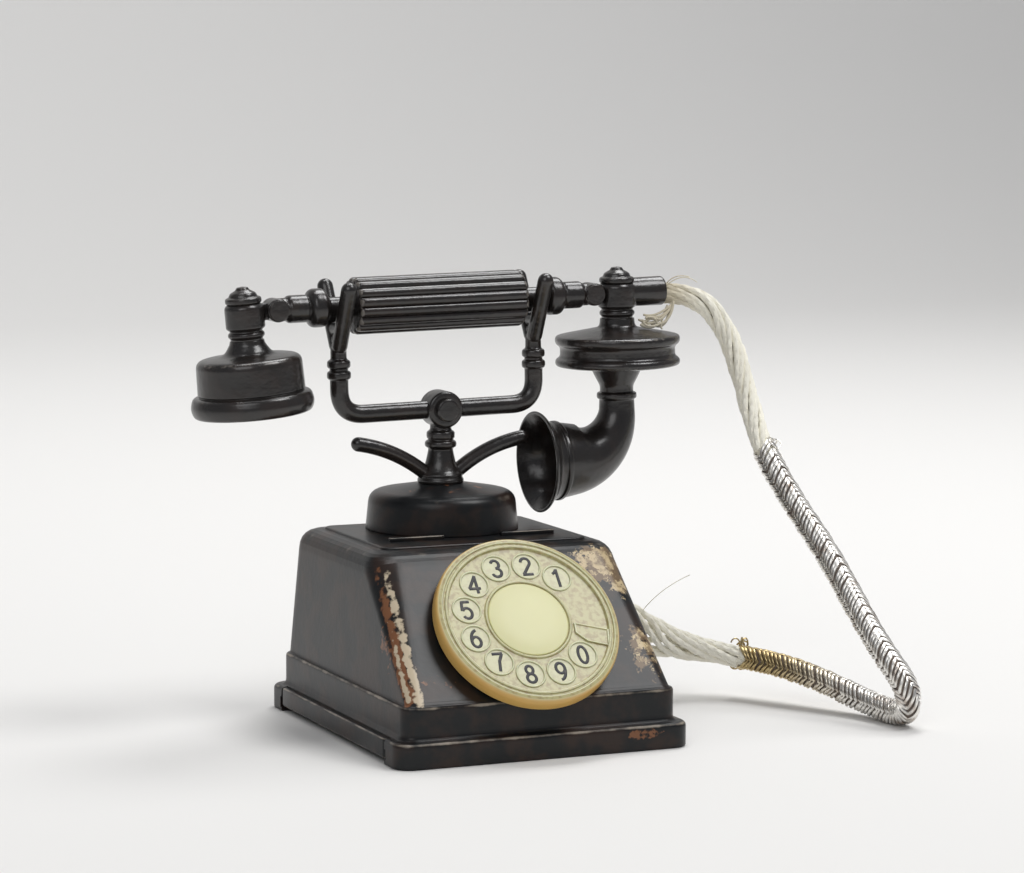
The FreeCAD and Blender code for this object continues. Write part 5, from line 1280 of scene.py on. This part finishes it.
def route_line():
    """Points along the middle of the cord, in millimetres about the plinth's middle."""
    curve = bpy.data.curves.new("cord_route", "CURVE")
    curve.dimensions = "3D"
    curve.resolution_u = 64
    spline = curve.splines.new("NURBS")
    spline.points.add(len(ROUTE) - 1)
    spline.points.foreach_set("co", np.pad(np.array(ROUTE), ((0, 0), (0, 1)), constant_values=1.0).ravel())
    spline.order_u = 3
    spline.use_endpoint_u = True
    holder = bpy.data.objects.new("cord_route", curve)
    mesh = bpy.data.meshes.new_from_object(holder)
    line = np.zeros(len(mesh.vertices) * 3)
    mesh.vertices.foreach_get("co", line)
    bpy.data.objects.remove(holder)
    bpy.data.meshes.remove(mesh)
    return line.reshape(-1, 3)


def cross_axes(line):
    """Two directions square to a line at each of its points."""
    ahead = unit(np.gradient(line, axis=0))
    first = unit(np.cross(CORD_SIDE, ahead))
    return first, np.cross(ahead, first)


def outwards(turn, first, second):
    """Direction at an angle round a line: cos(turn) * first + sin(turn) * second."""
    return np.cos(turn)[..., None] * first + np.sin(turn)[..., None] * second


def sways(run, size, reach, start):
    """Wave along a run: size * sin(run / reach + start)."""
    return size * np.sin(run / reach + start)


def bulge(share, start, end):
    """Rises from 0 at start to 1 halfway and falls back to 0 at end."""
    return np.sin(np.pi * np.clip((share - start) / (end - start), 0, 1)) ** 2


def cotton_strands(line, settings):
    """Strands that wind slowly round the cord's line, each a yarn of three lobes that turn along it.

    A strand's middle is line + radius * (cos(turn) * first + sin(turn) * second), and the radius grows
    where the strands splay out before the base.
    """
    line = line[::2]
    run = along(line)
    share = run / run[-1]
    first, second = cross_axes(line)
    rng = np.random.default_rng(4)
    angle = around(9)[None, :]
    out = outwards(angle, first[:, None], second[:, None])
    wound = (share > WOUND[0]) & (share < WOUND[1])
    shells = []
    for number in range(settings.strand_count + 1):
        core = number == settings.strand_count
        start = rng.uniform(0, FULL_TURN, 4)
        turn = FULL_TURN * (run * MM / settings.rope_pitch + number / settings.strand_count)
        turn = turn + sways(run, *SLOW_SWAY, start[0]) + sways(run, *QUICK_SWAY, start[3])
        splay = 1 + bulge(share, *SPLAY) * (SPLAY_LEAST + SPLAY_FURTHER * rng.random())
        splay = splay + sways(run, *OUT_SWAY, start[1])
        far = (0.0 if core else settings.rope_radius / MM) * np.where(wound, BOUND, splay)
        path = line + far[:, None] * outwards(turn, first, second)
        swell = 1 + LOBE_SWELL * np.cos(LOBES * angle - FULL_TURN * run[:, None] / LOBE_PITCH + start[2])
        shells.append(tube(path, path[:, None] + settings.strand_radius / MM * swell[:, :, None] * out))
    return shells


def silver_winding(line, settings):
    """Knitted sleeve: a pile of rings of thread that zigzag, so that columns of stitches lean to and fro.

    A ring's point lies at the distance row * pitch + slant * zigzag(angle * columns) along the cord. Its
    distance from the cord's middle is the sleeve's radius, less a dip between two columns.
    """
    run = along(line)
    fields = (line, *cross_axes(line))
    rng = np.random.default_rng(7)
    pitch = settings.stitch_pitch / MM
    start, end = (share * run[-1] for share in WOUND)
    angle = np.linspace(0, FULL_TURN * 1.01, 16 * settings.stitch_columns)
    phase = angle * settings.stitch_columns / FULL_TURN
    zigzag = 2 * np.abs(phase % 2 - 1) - 1
    dip = STITCH_DIP * (1 - np.abs(np.sin(phase * math.pi)) ** 0.7)
    shells = []
    for row in range(int((end - start) / pitch)):
        spot = start + row * pitch
        far = spot + pitch * (rng.uniform(-0.2, 0.2) + STITCH_SLANT * zigzag * rng.uniform(0.85, 1.1))
        turn = angle + STITCH_START + spot / STITCH_DRIFT + rng.uniform(-0.05, 0.05)
        centre, first, second = (np.stack([np.interp(far, run, field[:, axis]) for axis in range(3)], axis=1)
                                 for field in fields)
        out = outwards(turn, first, second)
        radius = settings.winding_radius / MM * rng.uniform(0.96, 1.04) - dip
        shells.append(band(centre + radius[:, None] * out, out, settings.thread_width / MM, THREAD_THICK, 8))
    return shells


def painted_shade_sleeve(line, settings):
    """Plain dark sleeve under the winding, a painted shade that darkens the gaps between the stitches: a
    round band along the cord's line.
    """
    run = along(line)
    share = run / run[-1]
    kept = line[(share > WOUND[0] + SLEEVE_BACK[0]) & (share < WOUND[1] - SLEEVE_BACK[1])][::6]
    radius = settings.winding_radius / MM - SLEEVE_DEPTH
    return [band(kept, cross_axes(kept)[0], radius, radius, 16)]


def loose_loops(line):
    """Small open loops of thread that stand out at both ends of the winding: tilted arcs of a circle."""
    run = along(line)
    first, second = cross_axes(line)
    headings = unit(np.gradient(line, axis=0))
    rng = np.random.default_rng(11)
    shells = []
    for share, number in zip(WOUND, LOOPS):
        spot = int(np.searchsorted(run, share * run[-1]))
        ahead = headings[spot]
        for _ in range(number):
            out = outwards(rng.uniform(0, FULL_TURN), first[spot], second[spot])
            out = out * np.sign(out[0])
            lean = rng.uniform(-1.3, 1.3)
            up = unit(outwards(lean, ahead, np.cross(out, ahead)))
            radius = rng.uniform(0.35, 0.9)
            angle = np.linspace(-rng.uniform(1.2, 2.6), rng.uniform(1.2, 2.6), 26)[:, None]
            centre = line[spot] + out * (1.1 + radius * 0.75) + ahead * rng.uniform(-1.0, 1.0)
            path = centre + radius * (np.cos(angle) * out + rng.uniform(0.5, 1.0) * np.sin(angle) * up)
            thick = rng.uniform(0.07, 0.13)
            shells.append(band(path, np.cross(out, up), thick, thick, 6))
    return shells


class TELEPHONE_OT_cord(Operator):
    """Cotton strands, silver winding and loose ends of the cord"""

    bl_idname = "telephone.cord"
    bl_label = "Cord"

    def execute(self, context):
        settings = context.scene.telephone_cord
        line = route_line()
        cotton, tinsel, dark = cord_materials(settings)
        rows = (
            ("cord_strands", cotton_strands(line, settings), cotton, "cotton"),
            ("cord_winding", silver_winding(line, settings), tinsel, "tinsel"),
            # Dark sleeve over the strands paints the shade between the winding's stitches
            ("cord_shade_sleeve", painted_shade_sleeve(line, settings), dark, "tinsel"),
            ("cord_loops", loose_loops(line), tinsel, "tinsel"),
            ("cord_fibres", [rod(*fibre, FIBRE_SIDE) for fibre in FIBRES], cotton, "cotton"),
        )
        for name, shells, *finish in rows:
            item = build(name, shells, PLINTH)
            dress(item, *finish)
            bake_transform(item)
        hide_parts("cord_upper", "cord_lower", "cord_knot")
        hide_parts("cord_wrap")
        return {"FINISHED"}


def cord_materials(settings):
    """Stained cotton, tarnished silver thread that yellows near the base, and the dark sleeve under it that
    paints shade between the stitches.
    """
    cotton, tree, shader = material("cotton")
    spot = spot_of(tree)
    x, _, z = node(tree, "ShaderNodeSeparateXYZ", {0: spot}).outputs
    patches = sums(tree, "MULTIPLY", stepped(tree, noise(tree, spot, 260.0), 0.45, 0.8), 0.5)
    stained = sums(tree, "MULTIPLY", stepped(tree, x, *STAIN_X), stepped(tree, z, *STAIN_Z))
    dull = sums(tree, "MULTIPLY", sums(tree, "MAXIMUM", patches, stained), 0.6)
    fuzz = {"Strength": 0.5, "Distance": 0.0001, "Height": noise(tree, spot, 6000.0)}
    feed(tree, shader, {"Base Color": mixed(tree, dull, settings.cotton, STAINED), "Roughness": 0.85,
                        "Normal": node(tree, "ShaderNodeBump", fuzz).outputs[0], "Sheen Weight": 0.3})
    tinsel, tree, shader = material("tinsel")
    spot = spot_of(tree)
    _, y, z = node(tree, "ShaderNodeSeparateXYZ", {0: spot}).outputs
    yellow = sums(tree, "MULTIPLY", stepped(tree, y, *YELLOW_Y), stepped(tree, z, *YELLOW_Z))
    metal = mixed(tree, yellow, settings.silver, settings.gold)
    tone = mixed(tree, stepped(tree, noise(tree, spot, 500.0, 6.0), 0.5, 0.85), metal, TARNISH)
    feed(tree, shader, {"Base Color": tone, "Metallic": 1.0, "Roughness": 0.34})
    # Painted shade: the sleeve's dark tones darken the gaps between the stitches
    dark, tree, shader = material("painted_shade_sleeve")
    tone = mixed(tree, noise(tree, spot_of(tree), 900.0), *SHADE_SLEEVE_TONES)
    feed(tree, shader, {"Base Color": tone, "Roughness": 0.8})
    return cotton, tinsel, dark


# Stage

# Camera: spot and target about the plinth's middle in millimetres, and roll in degrees
CAMERA_SPOT = (-159.71, -372.54, 81.39)
CAMERA_TARGET = (4.93, 0.0, 35.85)
CAMERA_ROLL = 0.29
# Lamps: name, place, aim and size in metres, and power in watts
LAMPS = (
    ("key", (0.28, -0.19, 0.60), (0.0, 0.0, 0.02), 0.30, 1.85),
    ("front", (-0.42, -0.50, 0.50), (0.0, 0.0, 0.03), 0.50, 1.1),
    ("top", (0.23, 0.23, 0.56), (0.0, 0.0, 0.03), 0.26, 1.3),
    ("wall", (0.0, 0.25, 1.1), (0.0, 1.1, 0.5), 0.60, 6.0),
)
# Light from all round
SKY = (0.92, 0.94, 1.0, 1.0)
SKY_STRENGTH = 0.26
# Floor and backdrop in metres: where the floor starts and ends, radius of the bend, rise, half width
FLOOR_START, FLOOR_END = -1.2, 0.6
BACKDROP_BEND = 0.6
BACKDROP_RISE = 1.2
BACKDROP_HALF = 2.0
# Shares of the backdrop's run at which the bend starts and ends
BEND_SHARES = (0.4, 0.8)


def aimed(spot, target):
    """Place of a camera or lamp that looks from a spot at a target."""
    look = Vector(target) - Vector(spot)
    return Matrix.Translation(spot) @ look.to_track_quat("-Z", "Y").to_matrix().to_4x4()


class TELEPHONE_OT_stage(Operator):
    """Camera, floor and lamps"""

    bl_idname = "telephone.stage"
    bl_label = "Stage"

    def execute(self, context):
        settings = context.scene.telephone_stage
        camera = bpy.data.objects.new("camera", bpy.data.cameras.new("camera"))
        camera.data.lens = settings.lens
        camera.data.clip_start = 0.01
        camera.data.clip_end = 10.0
        ends = (put(np.array(point), PLINTH) for point in (CAMERA_SPOT, CAMERA_TARGET))
        camera.matrix_world = aimed(*ends) @ Matrix.Rotation(math.radians(CAMERA_ROLL), 4, "Z")
        context.collection.objects.link(camera)
        context.scene.camera = camera
        floor = backdrop()
        tone, tree, shader = material("floor")
        feed(tree, shader, {"Base Color": settings.floor, "Roughness": 0.9})
        floor.data.materials.append(tone)
        for name, spot, target, size, power in LAMPS:
            lamp = bpy.data.objects.new(name, bpy.data.lights.new(name, "AREA"))
            lamp.data.shape = "DISK"
            lamp.data.size = size
            lamp.data.energy = power * settings.light
            lamp.matrix_world = aimed(spot, target)
            context.collection.objects.link(lamp)
        world = bpy.data.worlds.new("studio")
        world.use_nodes = True
        shine = {"Color": SKY, "Strength": SKY_STRENGTH * settings.light}
        feed(world.node_tree, world.node_tree.nodes["Background"], shine)
        context.scene.world = world
        context.scene.view_settings.view_transform = "Standard"
        return {"FINISHED"}


def backdrop(rows=40, columns=12):
    """Floor that rises behind the object: an arc between two straight runs, drawn out sideways."""
    run = np.linspace(0, 1, rows)[:, None]
    first, last = BEND_SHARES
    level, bend, upright = (np.clip((run - start) / (end - start), 0, 1)
                            for start, end in ((0, first), (first, last), (last, 1)))
    bend = bend * math.pi / 2
    back = FLOOR_START + level * (FLOOR_END - FLOOR_START) + BACKDROP_BEND * np.sin(bend)
    rise = BACKDROP_BEND * (1 - np.cos(bend)) + BACKDROP_RISE * upright
    across = np.linspace(-BACKDROP_HALF, BACKDROP_HALF, columns)
    grid = np.stack(np.broadcast_arrays(across, back, rise), axis=-1)
    mesh = bpy.data.meshes.new("floor")
    index = np.arange(rows * columns).reshape(rows, columns)
    mesh.from_pydata(grid.reshape(-1, 3).tolist(), [], quads_between(index).tolist())
    mesh.shade_smooth()
    item = bpy.data.objects.new("floor", mesh)
    bpy.context.collection.objects.link(item)
    return item


class TELEPHONE_PT_panel(Panel):
    """Lists the pieces that can be built"""

    bl_label = "Miniature telephone"
    bl_idname = "TELEPHONE_PT_panel"
    bl_space_type = "VIEW_3D"
    bl_region_type = "UI"
    bl_category = "Telephone"

    def draw(self, context):
        for operator in OPERATORS:
            self.layout.operator(operator.bl_idname)


OPERATORS = (
    TELEPHONE_OT_stage, TELEPHONE_OT_base, TELEPHONE_OT_cradle, TELEPHONE_OT_handset, TELEPHONE_OT_ends,
    TELEPHONE_OT_fixings, TELEPHONE_OT_dial, TELEPHONE_OT_cord,
)
SETTINGS = {
    "telephone_cord": CordSettings,
    "telephone_dial": DialSettings,
    "telephone_metal": MetalSettings,
    "telephone_stage": StageSettings,
}


def register():
    """Registers the settings, operators and panel."""
    for item in (*SETTINGS.values(), *OPERATORS, TELEPHONE_PT_panel):
        bpy.utils.register_class(item)
    for name, kind in SETTINGS.items():
        setattr(bpy.types.Scene, name, PointerProperty(type=kind))


def unregister():
    """Takes back what register did."""
    for name in SETTINGS:
        delattr(bpy.types.Scene, name)
    for item in (TELEPHONE_PT_panel, *reversed(OPERATORS), *SETTINGS.values()):
        bpy.utils.unregister_class(item)


def main():
    """Builds the whole model."""
    register()
    casting_group()
    scuff_group()
    line_group()
    edge_group()
    bpy.ops.telephone.stage()
    bpy.ops.telephone.base()
    bpy.ops.telephone.cradle()
    bpy.ops.telephone.handset()
    bpy.ops.telephone.ends()
    bpy.ops.telephone.fixings()
    bpy.ops.telephone.dial()
    bpy.ops.telephone.cord()


if __name__ == "__main__":
    main()
